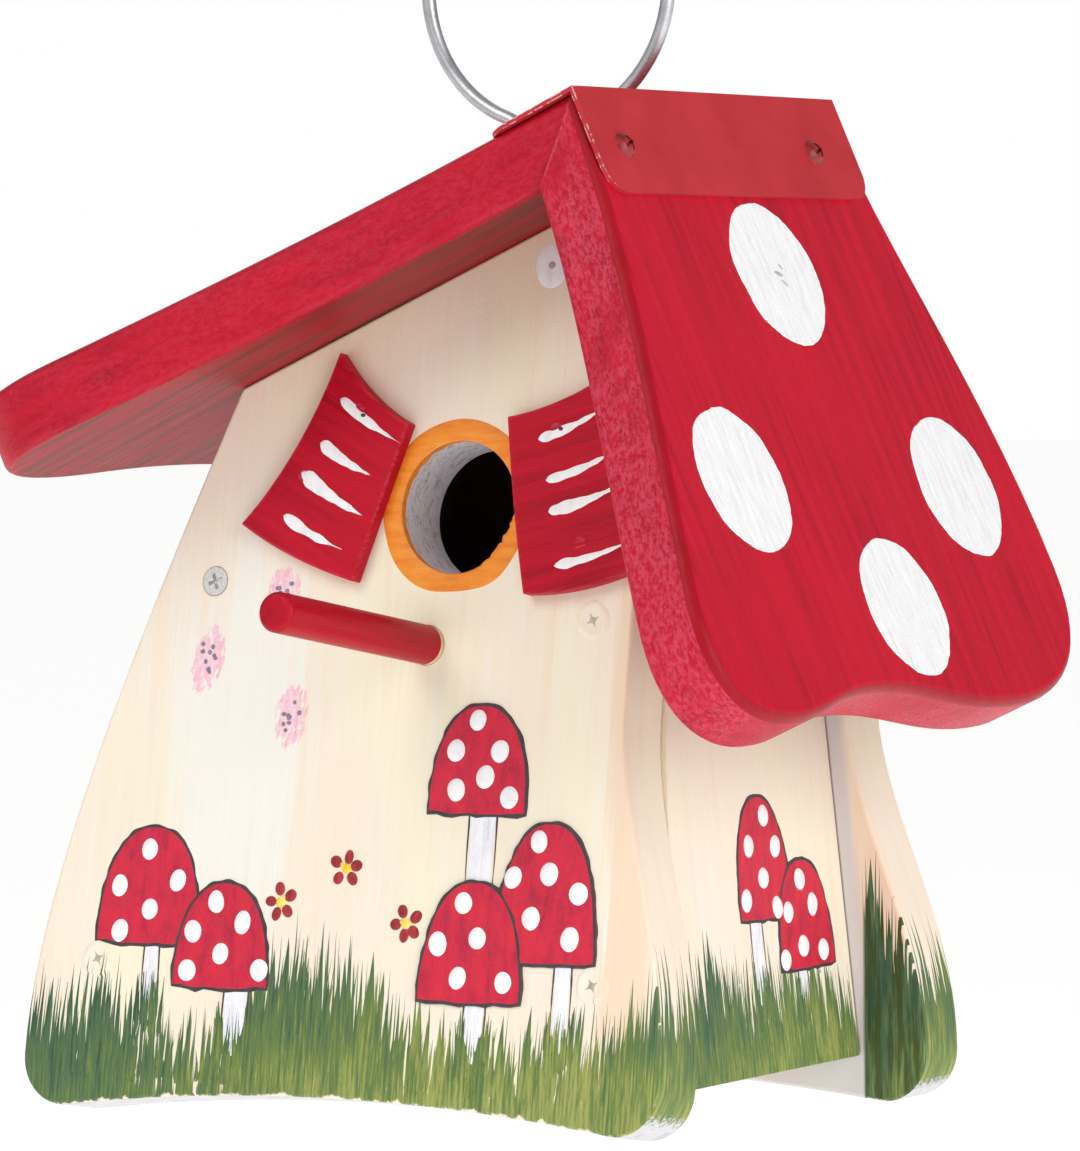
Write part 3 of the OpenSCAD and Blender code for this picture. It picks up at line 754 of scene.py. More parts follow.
mat_front = cream_paint("front_paint", FRONT, GRASS_FRONT, peach_top=0.75, white_patch=(-34, 92, 22, 55),
                        edge_band=(73, 82), foot=(LOBE_HALF, FOOT_ARCH))
mat_front_strip = cream_paint("front_strip_paint", FRONT, GRASS_STRIP, strip=True)
mat_front_rear = cream_paint("front_rear_paint", FRONT, GRASS_PLAIN, inside=True)
mat_back_in = cream_paint("back_inner_paint", BACK_IN, GRASS_BACK_IN, edge_band=(84, 96), inside=True,
                          foot=(LOBE_HALF + BACK_GROW_FOOT, FOOT_ARCH), joint=True, deep=0.8)
mat_back_strip = cream_paint("back_strip_paint", BACK_IN, GRASS_STRIP, strip=True)
mat_back_out = cream_paint("back_outer_paint", BACK_OUT, GRASS_PLAIN, peach_top=0.5)
mat_wall_right = cream_paint("wall_right_paint", WALL_RIGHT, GRASS_WALL, peach_top=0.3)
mat_wall_left = cream_paint("wall_left_paint", WALL_LEFT, GRASS_PLAIN, peach_top=0.3)
# The downward faces of the feet: bare wood in grey as painted shade.
mat_foot_bare_and_shade = raised_paint("bare_foot_and_shade", [(0.46, 0.44, 0.43), (0.58, 0.56, 0.57), (0.66, 0.64, 0.65)],
                        scale=(0.12, 0.3, 0.3), relief=0.2)
# The wood inside the box, darkened as painted shade.
mat_inside_shade = bare_wood("inside_wood_shade", BACK_IN, dark=0.8)
mat_floor_wood = bare_wood("floor_wood", Face((0, 0, 24), (0, 1, 0), (1, 0, 0)))
mat_block_wood = bare_wood("block_wood", ROOF_LEFT)
mat_bore = bore_paint()
DOWN_U = (0.05, 1.2, 1.2)
right_roof_materials = [
    crimson_paint("roof_right_top_paint", ROOF_RIGHT, DOWN_U, pale=0.25),
    crimson_paint("roof_right_edge_paint", ROOF_RIGHT, DOWN_U, pale=0.5, deep=0.2, stipple=0.55),
    crimson_paint("roof_right_under_paint", ROOF_RIGHT, DOWN_U, brown=0.5, deep=0.2),
    crimson_paint("roof_right_chamfer_paint", ROOF_RIGHT, DOWN_U, deep=0.7, gloss=0.36),
]
left_roof_materials = [
    crimson_paint("roof_left_top_paint", ROOF_LEFT, DOWN_U, pale=0.3),
    crimson_paint("roof_left_edge_paint", ROOF_LEFT, DOWN_U, pale=0.45, deep=0.3, stipple=0.14),
    crimson_paint("roof_left_under_paint", ROOF_LEFT, DOWN_U, brown=0.9, deep=0.5),
]
TILT = math.radians(14)
SHUTTER_FACE_RIGHT = Face(FRONT.origin, FRONT.u * math.cos(TILT) + FRONT.v * math.sin(TILT),
                          FRONT.v * math.cos(TILT) - FRONT.u * math.sin(TILT))
SHUTTER_FACE_LEFT = Face(FRONT.origin, FRONT.u * math.cos(2 * TILT) - FRONT.v * math.sin(2 * TILT),
                         FRONT.v * math.cos(2 * TILT) + FRONT.u * math.sin(2 * TILT))
SHUTTER_GRAIN = (0.10, 1.6, 1.6)
mat_shutter_left = crimson_paint("shutter_left_paint", SHUTTER_FACE_LEFT, SHUTTER_GRAIN,
                                 pale=0.4, deep=0.15)
mat_shutter_right = crimson_paint("shutter_right_paint", SHUTTER_FACE_RIGHT, SHUTTER_GRAIN,
                                  pale=0.4, deep=0.15)
ALONG_PERCH = Face(FRONT.origin, FRONT.n, FRONT.u)
mat_perch = crimson_paint("perch_paint", ALONG_PERCH, (0.04, 1.2, 1.2), deep=0.35, gloss=0.34)
mat_white = raised_paint("white_paint", [(0.80, 0.79, 0.80), (0.90, 0.90, 0.91), (0.94, 0.94, 0.95)])
mat_spot = raised_paint("spot_paint", [(0.80, 0.78, 0.80), (0.90, 0.89, 0.90), (0.95, 0.95, 0.96)],
                        scale=(0.10, 0.6, 0.6), face=ROOF_RIGHT, relief=0.35)
mat_stem = raised_paint("stem_paint", [(0.66, 0.67, 0.74), (0.84, 0.84, 0.88), (0.92, 0.92, 0.94)],
                        scale=(0.8, 0.08, 0.8))
mat_red = raised_paint("cap_red_paint", [(0.38, 0.006, 0.035), (0.58, 0.010, 0.045), (0.68, 0.014, 0.040)],
                       scale=(0.30, 0.10, 0.30))
mat_dark = raised_paint("outline_paint", [(0.035, 0.025, 0.03), (0.07, 0.05, 0.055)])
mat_petal = raised_paint("petal_paint", [(0.20, 0.008, 0.012), (0.33, 0.014, 0.022), (0.46, 0.035, 0.045)])
mat_yellow = raised_paint("flower_yellow_paint", [(0.80, 0.42, 0.02), (0.90, 0.66, 0.05), (0.93, 0.82, 0.30)])
mat_pink = raised_paint("pink_paint", [(0.84, 0.42, 0.52), (0.90, 0.58, 0.66), (0.92, 0.74, 0.76)])
mat_lilac = raised_paint("lilac_paint", [(0.16, 0.13, 0.19), (0.30, 0.25, 0.36)])
mat_orange = raised_paint("orange_paint", [(0.78, 0.19, 0.008), (0.87, 0.27, 0.014), (0.91, 0.33, 0.030)],
                          scale=(0.10, 0.5, 0.3), relief=0.3)
# Olive-grey painted shade in the screw recesses that show through the paint.
mat_recess_shade = raised_paint("recess_shade_paint", [(0.30, 0.28, 0.22), (0.42, 0.39, 0.32), (0.56, 0.52, 0.45)])
mat_grass_front = grass_paint("front_grass_finish", FRONT, 0.0)
mat_grass_back = grass_paint("back_grass_finish", BACK_OUT, 0.0)
mat_grass_left = grass_paint("left_grass_finish", WALL_LEFT, 0.0)
mat_grass_wall = grass_paint("wall_grass_finish", WALL_RIGHT, 0.1)
mat_zinc = zinc("zinc_plate")
mat_front_screws = zinc("front_screw_finish", painted_away_from=FRONT_SCREWS[0])
mat_cap = sheet_paint()
mat_pan = painted_head()
mat_wire = drawn_wire()


def dress(node, material):
    """Gives a CAD node that keeps its shape its finish, with crisp edges."""
    obj = nodes[node]
    obj.data.materials.clear()
    obj.data.materials.append(material)
    crisp = obj.modifiers.new("crisp_edges", "EDGE_SPLIT")
    crisp.split_angle = math.radians(25)


# ---- Boards ----

# How far a normal has to lean for its face to count as a board's flat side, its narrow edge or its foot.
FACING = 0.92
SIDEWAYS = 0.5
DOWNWARD = -0.8
# Height below which the narrow edges are bare feet.
FOOT_ZONE = 30


def front_panel():
    """The bell-shaped front with its entrance, perch hole and sunk screw holes."""
    bm = prism(FRONT, bell_outline(), -BOARD_T, 0)
    under_roof(bm)
    round_edges(bm, 1.1)
    cutters = [rod(FRONT, *ENTRANCE, ENTRANCE_R, -BOARD_T - 2, 2, sides=96),
               rod(FRONT, *PERCH, PERCH_R + 0.1, -PERCH_IN, 2)]
    cutters += [head_hole(FRONT, x, v) for x, v in FRONT_SCREWS]
    bm = cut_out(bm, cutters)

    def zone(centre, normal):
        face, bore, rear, foot, strip = range(5)
        at = FRONT.local(centre)
        out = normal.dot(FRONT.n)
        if abs(out) < SIDEWAYS:
            if math.hypot(at.x - ENTRANCE[0], at.y - ENTRANCE[1]) < ENTRANCE_R + 0.3:
                return bore
            return foot if at.y < FOOT_ZONE and normal.z < DOWNWARD else strip
        return rear if out < -FACING else face
    materials = [mat_front, mat_bore, mat_front_rear, mat_foot_bare_and_shade, mat_front_strip]
    piece("front_board", bm, materials, "cream_painted_wood", zone=zone,
          stands_for=["front_panel"])


def back_panel():
    """The larger bell-shaped back, drawn on its inner face."""
    bm = prism(BACK_IN, bell_outline(BACK_GROW_FOOT, BACK_GROW_TOP), -BOARD_T, 0)
    under_roof(bm)
    round_edges(bm, 1.1)
    cutters = [head_hole(BACK_OUT, -x, z) for x, z in BACK_SCREWS]
    bm = cut_out(bm, cutters)

    def zone(centre, normal):
        inner, outer, foot, strip = range(4)
        if centre.z < FOOT_ZONE * MM and normal.z < DOWNWARD:
            return foot
        out = normal.dot(BACK_IN.n)
        if abs(out) < SIDEWAYS:
            return strip
        return outer if out < 0 else inner
    materials = [mat_back_in, mat_back_out, mat_foot_bare_and_shade, mat_back_strip]
    piece("back_board", bm, materials, "cream_painted_wood", zone=zone,
          stands_for=["back_panel"])


def wall(name, node, face, lean, material):
    """A wall board between the two panels, drawn on its outer face."""
    foot = WALL_FOOT_Z / math.cos(lean)
    reach = 60
    corners = ((-reach, foot), (reach, foot), (reach, PANEL_TOP), (-reach, PANEL_TOP))
    outline = [Vector(p) for p in corners]
    bm = prism(face, outline, -BOARD_T, 0)
    slice_off(bm, (0, 0, WALL_FOOT_Z), (0, 0, -1))
    slice_off(bm, (0, BACK_IN_Y, 0), (0, 1, 0))
    slice_off(bm, FRONT.point(0, 0, -BOARD_T) / MM, FRONT.n)
    under_roof(bm)
    round_edges(bm, 0.4, 2)

    def zone(centre, normal):
        return 1 if normal.dot(face.n) < -FACING else 0
    piece(name, bm, [material, mat_inside_shade], "cream_painted_wood", zone=zone, stands_for=[node])


def roof_board(name, node, face, outline, beyond, materials, cutters):
    """A roof board with rounded edges, cut along the mitre; beyond is the side of it that is cut away."""
    bm = prism(face, outline, -BOARD_T, 0)
    mitre = (APEX - RIDGE).cross(Vector((0, 1, 0))).normalized() * beyond
    slice_off(bm, RIDGE, mitre)

    def off_mitre(p):
        return abs((p / MM - RIDGE).dot(mitre)) > 0.5
    round_edges(bm, 2.6, 4, lambda p: off_mitre(p) and face.local(p).z > -1)
    round_edges(bm, 1.6, 3, lambda p: off_mitre(p) and face.local(p).z < -BOARD_T + 1)
    if cutters:
        bm = cut_out(bm, cutters)

    def zone(centre, normal):
        top, edge, under, chamfer = range(4)
        out = normal.dot(face.n)
        if abs(out) > 0.97:
            return top if out > 0 else under
        return chamfer if out > 0.12 and len(materials) > chamfer else edge
    piece(name, bm, materials, "crimson_painted_wood", zone=zone, stands_for=[node])


def leg_cutters():
    """The two upright holes for the wire's legs."""
    level = Face((0, 0, 180), (1, 0, 0), (0, 1, 0))
    half = LEG_GAP / 2
    return [rod(level, HOOP[0] + side * half, 0, LEG_HOLE_R, 0, 90, sides=40) for side in (-1, 1)]


def shutter(name, node, outline, material):
    """A thin curved board on the front panel."""
    bm = prism(FRONT, outline, 0, SHUTTER_T)
    round_edges(bm, 0.35, 2)
    piece(name, bm, [material], "crimson_painted_wood", stands_for=[node])


front_panel()
back_panel()
wall("right_wall_board", "wall_right", WALL_RIGHT, RIGHT_LEAN, mat_wall_right)
wall("left_wall_board", "wall_left", WALL_LEFT, LEFT_LEAN, mat_wall_left)
roof_board("right_roof_board", "roof_board_right", ROOF_RIGHT, roof_outline_right(), -1,
           right_roof_materials, [])
left_roof_cutters = leg_cutters() + [head_hole(ROOF_LEFT, s, -y) for s, y in ROOF_SCREWS_LEFT]
roof_board("left_roof_board", "roof_board_left", ROOF_LEFT, roof_outline_left(), 1,
           left_roof_materials, left_roof_cutters)
shutter("left_shutter_board", "shutter_left", SHUTTER_LEFT, mat_shutter_left)
shutter("right_shutter_board", "shutter_right", SHUTTER_RIGHT, mat_shutter_right)
dress("floor_board", mat_floor_wood)
dress("hanger_block", mat_block_wood)
dress("ridge_cap", mat_cap)
dress("ridge_cap_screws", mat_pan)
dress("front_screws", mat_front_screws)
dress("back_screws", mat_zinc)
dress("roof_screws", mat_zinc)
dress("floor_nails", mat_zinc)
dress("shutter_brads", mat_perch)


# ---- Perch and wire ----

def perch():
    """A turned dowel with a softly rounded tip and a bare ring where it enters the panel."""
    tip_r = 1.6
    bare_end = 1.2
    bare_r = PERCH_R - 0.05
    profile = [(-PERCH_IN, bare_r), (bare_end, bare_r), (bare_end + 0.1, PERCH_R)]
    profile += [(PERCH_OUT - tip_r + tip_r * math.sin(q), PERCH_R - tip_r + tip_r * math.cos(q))
                for q in (math.radians(15 * i) for i in range(7))]
    sides = 64
    bm = bmesh.new()
    rings = []
    for along, r in profile:
        ring = []
        for i in range(sides):
            q = 2 * math.pi * i / sides
            u, v = PERCH[0] + r * math.cos(q), PERCH[1] + r * math.sin(q)
            ring.append(bm.verts.new(FRONT.point(u, v, along)))
        rings.append(ring)
    for low, high in zip(rings, rings[1:]):
        bridge(bm, low, high)
    bm.faces.new(rings[-1])
    bm.faces.new(list(reversed(rings[0])))
    bmesh.ops.recalc_face_normals(bm, faces=bm.faces[:])

    def zone(centre, normal):
        return 1 if FRONT.local(centre).z < bare_end + 0.05 else 0
    piece("perch_dowel", bm, [mat_perch, mat_block_wood], "crimson_painted_wood", zone=zone,
          stands_for=["perch"])


def wire_route():
    """The wire's centre line as (x, z): leg, bend, hoop, bend, leg and bar, as one closed loop."""
    bend_dx = LEG_GAP / 2 + LEG_BEND
    bend_dz = math.sqrt((HOOP_R + LEG_BEND) ** 2 - bend_dx ** 2)
    bend_z = HOOP[1] - bend_dz
    opening = math.degrees(math.atan2(bend_dx, bend_dz))
    x = HOOP[0]
    leg = LEG_GAP / 2
    low, step = BAR_Z + BAR_BEND, 12
    route = [Vector((x + leg, z)) for z in (low, low + step, bend_z - step)]
    route += arc((x + bend_dx, bend_z), LEG_BEND, 180, 90 + opening, 10)
    route += arc(HOOP, HOOP_R, opening - 90, 270 - opening, 72)[1:-1]
    route += arc((x - bend_dx, bend_z), LEG_BEND, 90 - opening, 0, 10)
    route += [Vector((x - leg, z)) for z in (bend_z - step, low + step)]
    route += arc((x - leg + BAR_BEND, low), BAR_BEND, 180, 270, 6)
    route += arc((x + leg - BAR_BEND, low), BAR_BEND, 270, 360, 6)[:-1]
    return route


def tube(name, route, radius, material, slot, body, stands_for):
    """A closed round tube along a route in the plane of the hoop."""
    sides = 20
    bm = bmesh.new()
    rings = []
    count = len(route)
    for i, p in enumerate(route):
        along = (route[(i + 1) % count] - route[i - 1]).normalized()
        out = Vector((along.y, -along.x))
        ring = []
        for k in range(sides):
            q = 2 * math.pi * k / sides
            ring.append(bm.verts.new(Vector((
                p.x + radius * math.cos(q) * out.x, radius * math.sin(q),
                p.y + radius * math.cos(q) * out.y)) * MM))
        rings.append(ring)
    for i in range(count):
        bridge(bm, rings[i], rings[(i + 1) % count])
    bmesh.ops.recalc_face_normals(bm, faces=bm.faces[:])
    piece(name, bm, [material], slot, body=body, stands_for=stands_for)


perch()
tube("hanger_loop", wire_route(), WIRE_R, mat_wire, "hanger_aluminium", "hanger", ["hanger_wire"])


# ---- Raised paint ----

def wobble(u, v, size, amount, seed=0.0):
    """A smooth random shift, the same each run."""
    p = Vector((u / size, v / size, seed))
    return amount * noise.noise(p)


def grown(outline, d):
    """A counter-clockwise outline moved outward by d."""
    count = len(outline)
    out = []
    for i, p in enumerate(outline):
        along = (outline[(i + 1) % count] - outline[i - 1]).normalized()
        step = d(p) if callable(d) else d
        out.append(p + Vector((along.y, -along.x)) * step)
    return out


def add_patch(bm, face, outline, height, low=-0.04, soft=0.25):
    """A thin patch of paint with a soft rim."""
    rim = [bm.verts.new(face.point(p.x, p.y, low)) for p in outline]
    top = [bm.verts.new(face.point(p.x, p.y, height)) for p in grown(outline, -soft)]
    bridge(bm, rim, top)
    bm.faces.new(top)
    bm.faces.new(list(reversed(rim)))


def add_dome(bm, face, u, v, ru, rv, height, low=0.0, turn=0.0, sides=20):
    """A raised drop of paint."""
    rings = []
    for share in (1.0, 0.86, 0.6, 0.3):
        rise = low + height * math.sqrt(1 - share * share) if share < 1 else low - 0.04
        ring = []
        for i in range(sides):
            q = 2 * math.pi * i / sides
            wave = 1 + 0.07 * noise.noise(Vector((u + 0.4 * math.cos(q), v + 0.4 * math.sin(q), 3.1)) * 2)
            du, dv = ru * share * wave * math.cos(q), rv * share * wave * math.sin(q)
            ring.append(bm.verts.new(face.point(
                u + du * math.cos(turn) - dv * math.sin(turn),
                v + du * math.sin(turn) + dv * math.cos(turn), rise)))
        rings.append(ring)
    for low_ring, high_ring in zip(rings, rings[1:]):
        bridge(bm, low_ring, high_ring)
    bm.faces.new(rings[-1])
    bm.faces.new(list(reversed(rings[0])))


def add_stroke(bm, face, start, end, width, height, low=-0.04, bow=0.0, steps=10, blunt=0.12):
    """A brush stroke: blunt at its start and drawn out to a point."""
    a, b = Vector(start), Vector(end)
    along = b - a
    side = Vector((-along.y, along.x)).normalized()
    left, right, crown = [], [], []
    for i in range(steps + 1):
        t = (i / steps) ** 1.6
        swell = math.sqrt(max(0.0, 1 - (1 - t / blunt) ** 2)) if t < blunt else 1.0
        w = width / 2 * swell * (1 - t) ** 0.75
        w = max(w + min(1.0, 8 * t) * wobble(a.x + 9 * t, a.y, 1.4, 0.12 * width), 0.03)
        p = a + along * t + side * (bow * math.sin(math.pi * t))
        left.append(bm.verts.new(face.point(*(p + side * w), low)))
        crown.append(bm.verts.new(face.point(*p, height + (low - height) * 0.5 * t)))
        right.append(bm.verts.new(face.point(*(p - side * w), low)))
    for i in range(steps):
        bm.faces.new((left[i], crown[i], crown[i + 1], left[i + 1]))
        bm.faces.new((crown[i], right[i], right[i + 1], crown[i + 1]))
        bm.faces.new((right[i], left[i], left[i + 1], right[i + 1]))
    bm.faces.new((left[0], right[0], crown[0]))
    bm.faces.new((left[-1], crown[-1], right[-1]))


def paint(name, bm, material, slot="cream_painted_wood"):
    """A finished piece of raised paint."""
    bmesh.ops.recalc_face_normals(bm, faces=bm.faces[:])
    return piece(name, bm, [material], slot, sharp=60)


def entrance_ring():
    """The orange rim: a band round the hole that laps over its edge."""
    sides = 120
    bm = bmesh.new()
    rings = []
    for r, n, loose in ((15.84, -1.6, 0.0), (15.82, -0.3, 0.0), (16.15, 0.22, 0.05), (18.2, 0.42, 0.2),
                        (20.2, 0.3, 0.45), (20.8, -0.04, 0.55)):
        ring = []
        for i in range(sides):
            q = 2 * math.pi * i / sides
            c, s = math.cos(q), math.sin(q)
            shift = noise.noise(Vector((c * 1.6, s * 1.6, 0.5))) * loose * 2
            if r < 16:
                spill = max(0.0, math.cos(q + math.radians(35))) ** 8
                shift -= spill * (1.0 + 0.9 * noise.noise(Vector((c * 14, s * 14, 1.0))))
            depth = n - (0.9 * abs(noise.noise(Vector((c * 5, s * 5, 2.0)))) * 2 if n < -1 else 0)
            ring.append(bm.verts.new(FRONT.point(
                ENTRANCE[0] + (r + shift) * c, ENTRANCE[1] + (r + shift) * s, depth)))
        rings.append(ring)
    for inner, outer in zip(rings, rings[1:]):
        bridge(bm, inner, outer)
    bm.normal_update()
    piece("entrance_rim_paint", bm, [mat_orange], "cream_painted_wood", sharp=60)


# Caps as (x from, x to, v from, v to), stems as (x from, x to, foot), then their white dots.
TOADSTOOLS = [
    ((-70.7, -41.0, 40.4, 68.0), (-56.5, -52.1, 26),
     [(-57, 62.7), (-65.1, 53.7), (-48.1, 55.4), (-55.7, 48.2), (-64, 42.8)]),
    ((-47.5, -20.3, 30.5, 55.1), (-32.4, -25.3, 19),
     [(-36.4, 50.6), (-42.5, 43.3), (-28.3, 45.9), (-34.1, 38.2), (-43.4, 33.9), (-22.6, 34.7)]),
    ((22.1, 48.7, 73.9, 98.9), (33.4, 41.1, 52),
     [(34.1, 95.5), (28.6, 88.3), (40.8, 88.3), (37.2, 82.2), (29.4, 79), (44.2, 77.5)]),
    ((42.6, 70.0, 39.6, 71.6), (59.6, 64.4, 22),
     [(53.3, 67.4), (46.9, 58.9), (56.7, 60), (65, 55.6), (52.6, 49.5), (63.5, 45)]),
    ((22.8, 50.6, 29.7, 57.3), (35.6, 41.5, 20),
     [(33.9, 52.5), (27.5, 42.7), (38.3, 44.4), (33.7, 35), (46.2, 34.3)]),
]
# The same on the right wall, as (y, height up the wall).
WALL_TOADSTOOLS = [
    ((-8.2, 16.8, 48, 76.8), (-4.4, 1.2, 30),
     [(6.7, 72.2), (-1.6, 65.4), (10.9, 64.5), (3.9, 57.4), (-5, 52.6), (9.2, 50)]),
    ((8.6, 34.5, 35, 60.4), (16.1, 20.6, 27),
     [(20.8, 55.8), (25.8, 49.4), (13.9, 48.4), (19.6, 39.8), (29, 38.2), (10.6, 37.2)]),
]


def cap_outline(box, seed):
    """A toadstool cap: a tall rounded dome over a nearly straight lower edge, counter-clockwise."""
    x0, x1, v0, v1 = box
    middle, half, rise = (x0 + x1) / 2, (x1 - x0) / 2, v1 - v0
    out = []
    for i in range(12):
        sag = 0.5 * math.sin(math.pi * i / 12)
        out.append(Vector((x0 + (x1 - x0) * i / 12, v0 + wobble(i, seed, 2.0, 0.5) - sag)))
    for i in range(72):
        q = math.pi * i / 72
        c, s = math.cos(q), math.sin(q)
        reach = math.copysign(abs(c) ** 0.86, c)
        lift = abs(s) ** 0.88
        out.append(Vector((middle + half * reach * (1 - 0.03 * lift) + wobble(4 * lift, c, 1.5, 0.35, seed),
                           v0 + rise * lift)))
    return out


def toadstools(face, rows, red, dark, white, stems, spread):
    """Stems first, then each cap over the one before, each on its dark outline."""
    rng = random.Random(7)
    for index, (box, stem, dots) in enumerate(rows):
        base = 0.10 + 0.13 * index
        x0, x1, foot = stem
        foot -= 5
        middle = (x0 + x1) / 2
        top = box[2] + 1
        waist = (x1 - x0) * 0.08
        halfway = (foot + top) / 2 + 2
        shape = [Vector(p) for p in (
            (middle - 0.5, foot), (middle + 0.5, foot), (x1 - 0.6, foot + 7), (x1 - waist, halfway),
            (x1, top), (x0, top), (x0 + waist, halfway), (x0 + waist, foot + 6))]
        add_patch(stems, face, shape, 0.08 + 0.02 * index, soft=0.3)
        for side, x in ((-1, x0), (1, x1)):
            lean = 0.6 * side
            add_stroke(dark, face, (x - lean * 0.2, top), (x + waist * -side + lean * 0.3, foot + 2), 0.75,
                       0.2, bow=0.3 * side, blunt=0.04)
        outline = cap_outline(box, index + spread)
        thick = grown(outline, lambda p: 0.85 + wobble(p.x, p.y, 3.0, 0.5, spread))
        add_patch(dark, face, thick, base, soft=0.2)
        add_patch(red, face, outline, base + 0.09, low=base - 0.02, soft=0.25)
        for u, v in dots:
            add_dome(white, face, u, v, rng.uniform(2.3, 2.65), rng.uniform(2.6, 2.95), 0.5,
                     low=base + 0.08, turn=rng.uniform(-0.4, 0.2))


def flowers(petals, yellow):
    """Five dark red petals round an uneven yellow middle."""
    rng = random.Random(3)
    for x, v in ((0, 59.7), (-18, 51.1), (17.9, 47.1)):
        start = rng.uniform(0, 1)
        for k in range(5):
            q = start + 2 * math.pi * k / 5 + rng.uniform(-0.15, 0.15)
            reach = rng.uniform(2.7, 3.3)
            add_dome(petals, FRONT, x + reach * math.cos(q), v + reach * math.sin(q),
                     rng.uniform(1.6, 1.9), rng.uniform(1.25, 1.5), 0.4, turn=q, sides=14)
        add_dome(yellow, FRONT, x + 0.1, v, 1.5, 1.35, 0.45, sides=12)
        for k in range(3):
            add_dome(yellow, FRONT, x + rng.uniform(-1.3, 1.3), v + rng.uniform(-1.3, 1.3), 0.6, 0.5, 0.4,
                     sides=8)


def dabs(pink, lilac):
    """Three loose dabs of pink stippling with a few grey-violet dots."""
    rng = random.Random(11)
    for x, v, tall, slant in ((-44.3, 108.8, 8.0, 0.5), (-19, 95.8, 7.5, 0.2), (-23.5, 126.4, 4.5, 0.0)):
        for k in range(230):
            q = rng.uniform(0, 2 * math.pi)
            reach = rng.random() ** 0.7
            du = 4.6 * reach * math.cos(q)
            dv = tall * reach * math.sin(q)
            add_dome(pink, FRONT, x + du + slant * dv * 0.3, v + dv, rng.uniform(0.35, 0.9) * (1.3 - reach),
                     rng.uniform(0.6, 1.4), 0.06 + 0.0004 * k, turn=-slant * 0.6, sides=7)
        for k in range(9):
            add_dome(lilac, FRONT, x + rng.uniform(-2.4, 2.6), v + rng.uniform(-0.6, 0.6) * tall,
                     rng.uniform(0.5, 0.72), rng.uniform(0.45, 0.65), 0.3, low=0.14, sides=9)


def screw_films(film, pit):
    """Paint over the sunk screw heads, with each recess just showing as olive-grey painted shade; one is
    under a white roof spot.
    """
    add_dome(pit, FRONT, *FRONT_SCREWS[4], 1.1, 1.0, 0.1, low=0.34, sides=10)
    for du, dv, r in ((0, 0, 1.3), (-1.8, 2.2, 0.7), (2.4, 1.2, 0.9)):
        add_dome(pit, ROOF_RIGHT, ROOF_SCREW_RIGHT[0] + du, ROOF_SCREW_RIGHT[1] + dv, 1.6 * r, 0.5 * r, 0.1,
                 low=0.2, turn=r, sides=12)
    sides = 32
    for x, v in FRONT_SCREWS[1:4]:
        rings = []
        for r, rise in ((4.6, -0.04), (3.9, 0.30), (3.0, 0.22), (1.6, 0.10), (0.5, 0.05)):
            ring = []
            for i in range(sides):
                q = 2 * math.pi * i / sides
                c, s = math.cos(q), math.sin(q)
                out = r * (1 + 0.16 * noise.noise(Vector((x + 1.5 * c, v + 1.5 * s, r))))
                cross = 1 + (0.35 * abs(math.cos(2 * q)) if r < 2 else 0)
                ring.append(film.verts.new(FRONT.point(x + out * cross * c, v + out * cross * s, rise)))
            rings.append(ring)
        for outer, inner in zip(rings, rings[1:]):
            bridge(film, outer, inner)
        film.faces.new(rings[-1])
        for k in range(4):
            q = math.radians(28 + 90 * k)
            add_stroke(pit, FRONT, (x, v), (x + 2.1 * math.cos(q), v + 2.1 * math.sin(q)), 1.3, 0.2, low=0.02,
                       steps=5, blunt=0.01)
        add_dome(pit, FRONT, x, v, 0.9, 0.8, 0.15, low=0.1, sides=10)


def height_at(profile, u):
    """The height of a drawn profile at u."""
    for (u0, v0), (u1, v1) in zip(profile, profile[1:]):
        if u <= u1:
            return v0 + (v1 - v0) * (u - u0) / (u1 - u0)
    return profile[-1][1]


def blades(bm, face, profile, span, foot, count, seed):
    """Raised brush marks of grass, each drawn up from the foot to a fine tip."""
    rng = random.Random(seed)
    for _ in range(count):
        u = rng.uniform(*span)
        top = height_at(profile, u) - rng.uniform(0, 14)
        low = rng.uniform(foot, max(foot + 2, top - 14))
        lean = rng.uniform(-0.06, 0.10) * (top - low)
        add_stroke(bm, face, (u, low), (u + lean, top), rng.uniform(0.9, 2.0), rng.uniform(0.08, 0.22),
                   bow=rng.uniform(-0.5, 0.5), steps=8, blunt=0.35)


def stem_feet(bm, face, rows, seed):
    """Grass over the feet of the toadstools' stems."""
    rng = random.Random(seed)
    for box, (x0, x1, foot), _ in rows:
        if box[2] - foot > 20:
            continue
        for _ in range(26):
            u = rng.uniform(x0 - 1.5, x1 + 1.5)
            low, top = foot - rng.uniform(3, 9), foot + rng.uniform(1.5, 8)
            add_stroke(bm, face, (u, low), (u + rng.uniform(-1, 1), top), rng.uniform(1.3, 2.2),
                       rng.uniform(0.24, 0.36), steps=8, blunt=0.3)


def roof_spots(bm):
    """Big white spots on the right roof board, thick and a little out of round."""
    for index, (s, y, r) in enumerate(((*ROOF_SCREW_RIGHT, 18.6), (97.7, -55.1, 18.1), (102.1, 45.2, 18.3),
                                       (131.5, -3.4, 17.5))):
        outline = []
        for i in range(96):
            q = 2 * math.pi * i / 96
            c, d = math.cos(q), math.sin(q)
            out = r + 0.7 * noise.noise(Vector((2 * c, 2 * d, index))) + 0.25 * noise.noise(
                Vector((9 * c, 9 * d, index)))
            outline.append(Vector((s + out * c, y + out * d)))
        add_patch(bm, ROOF_RIGHT, outline, 0.22, soft=0.35)


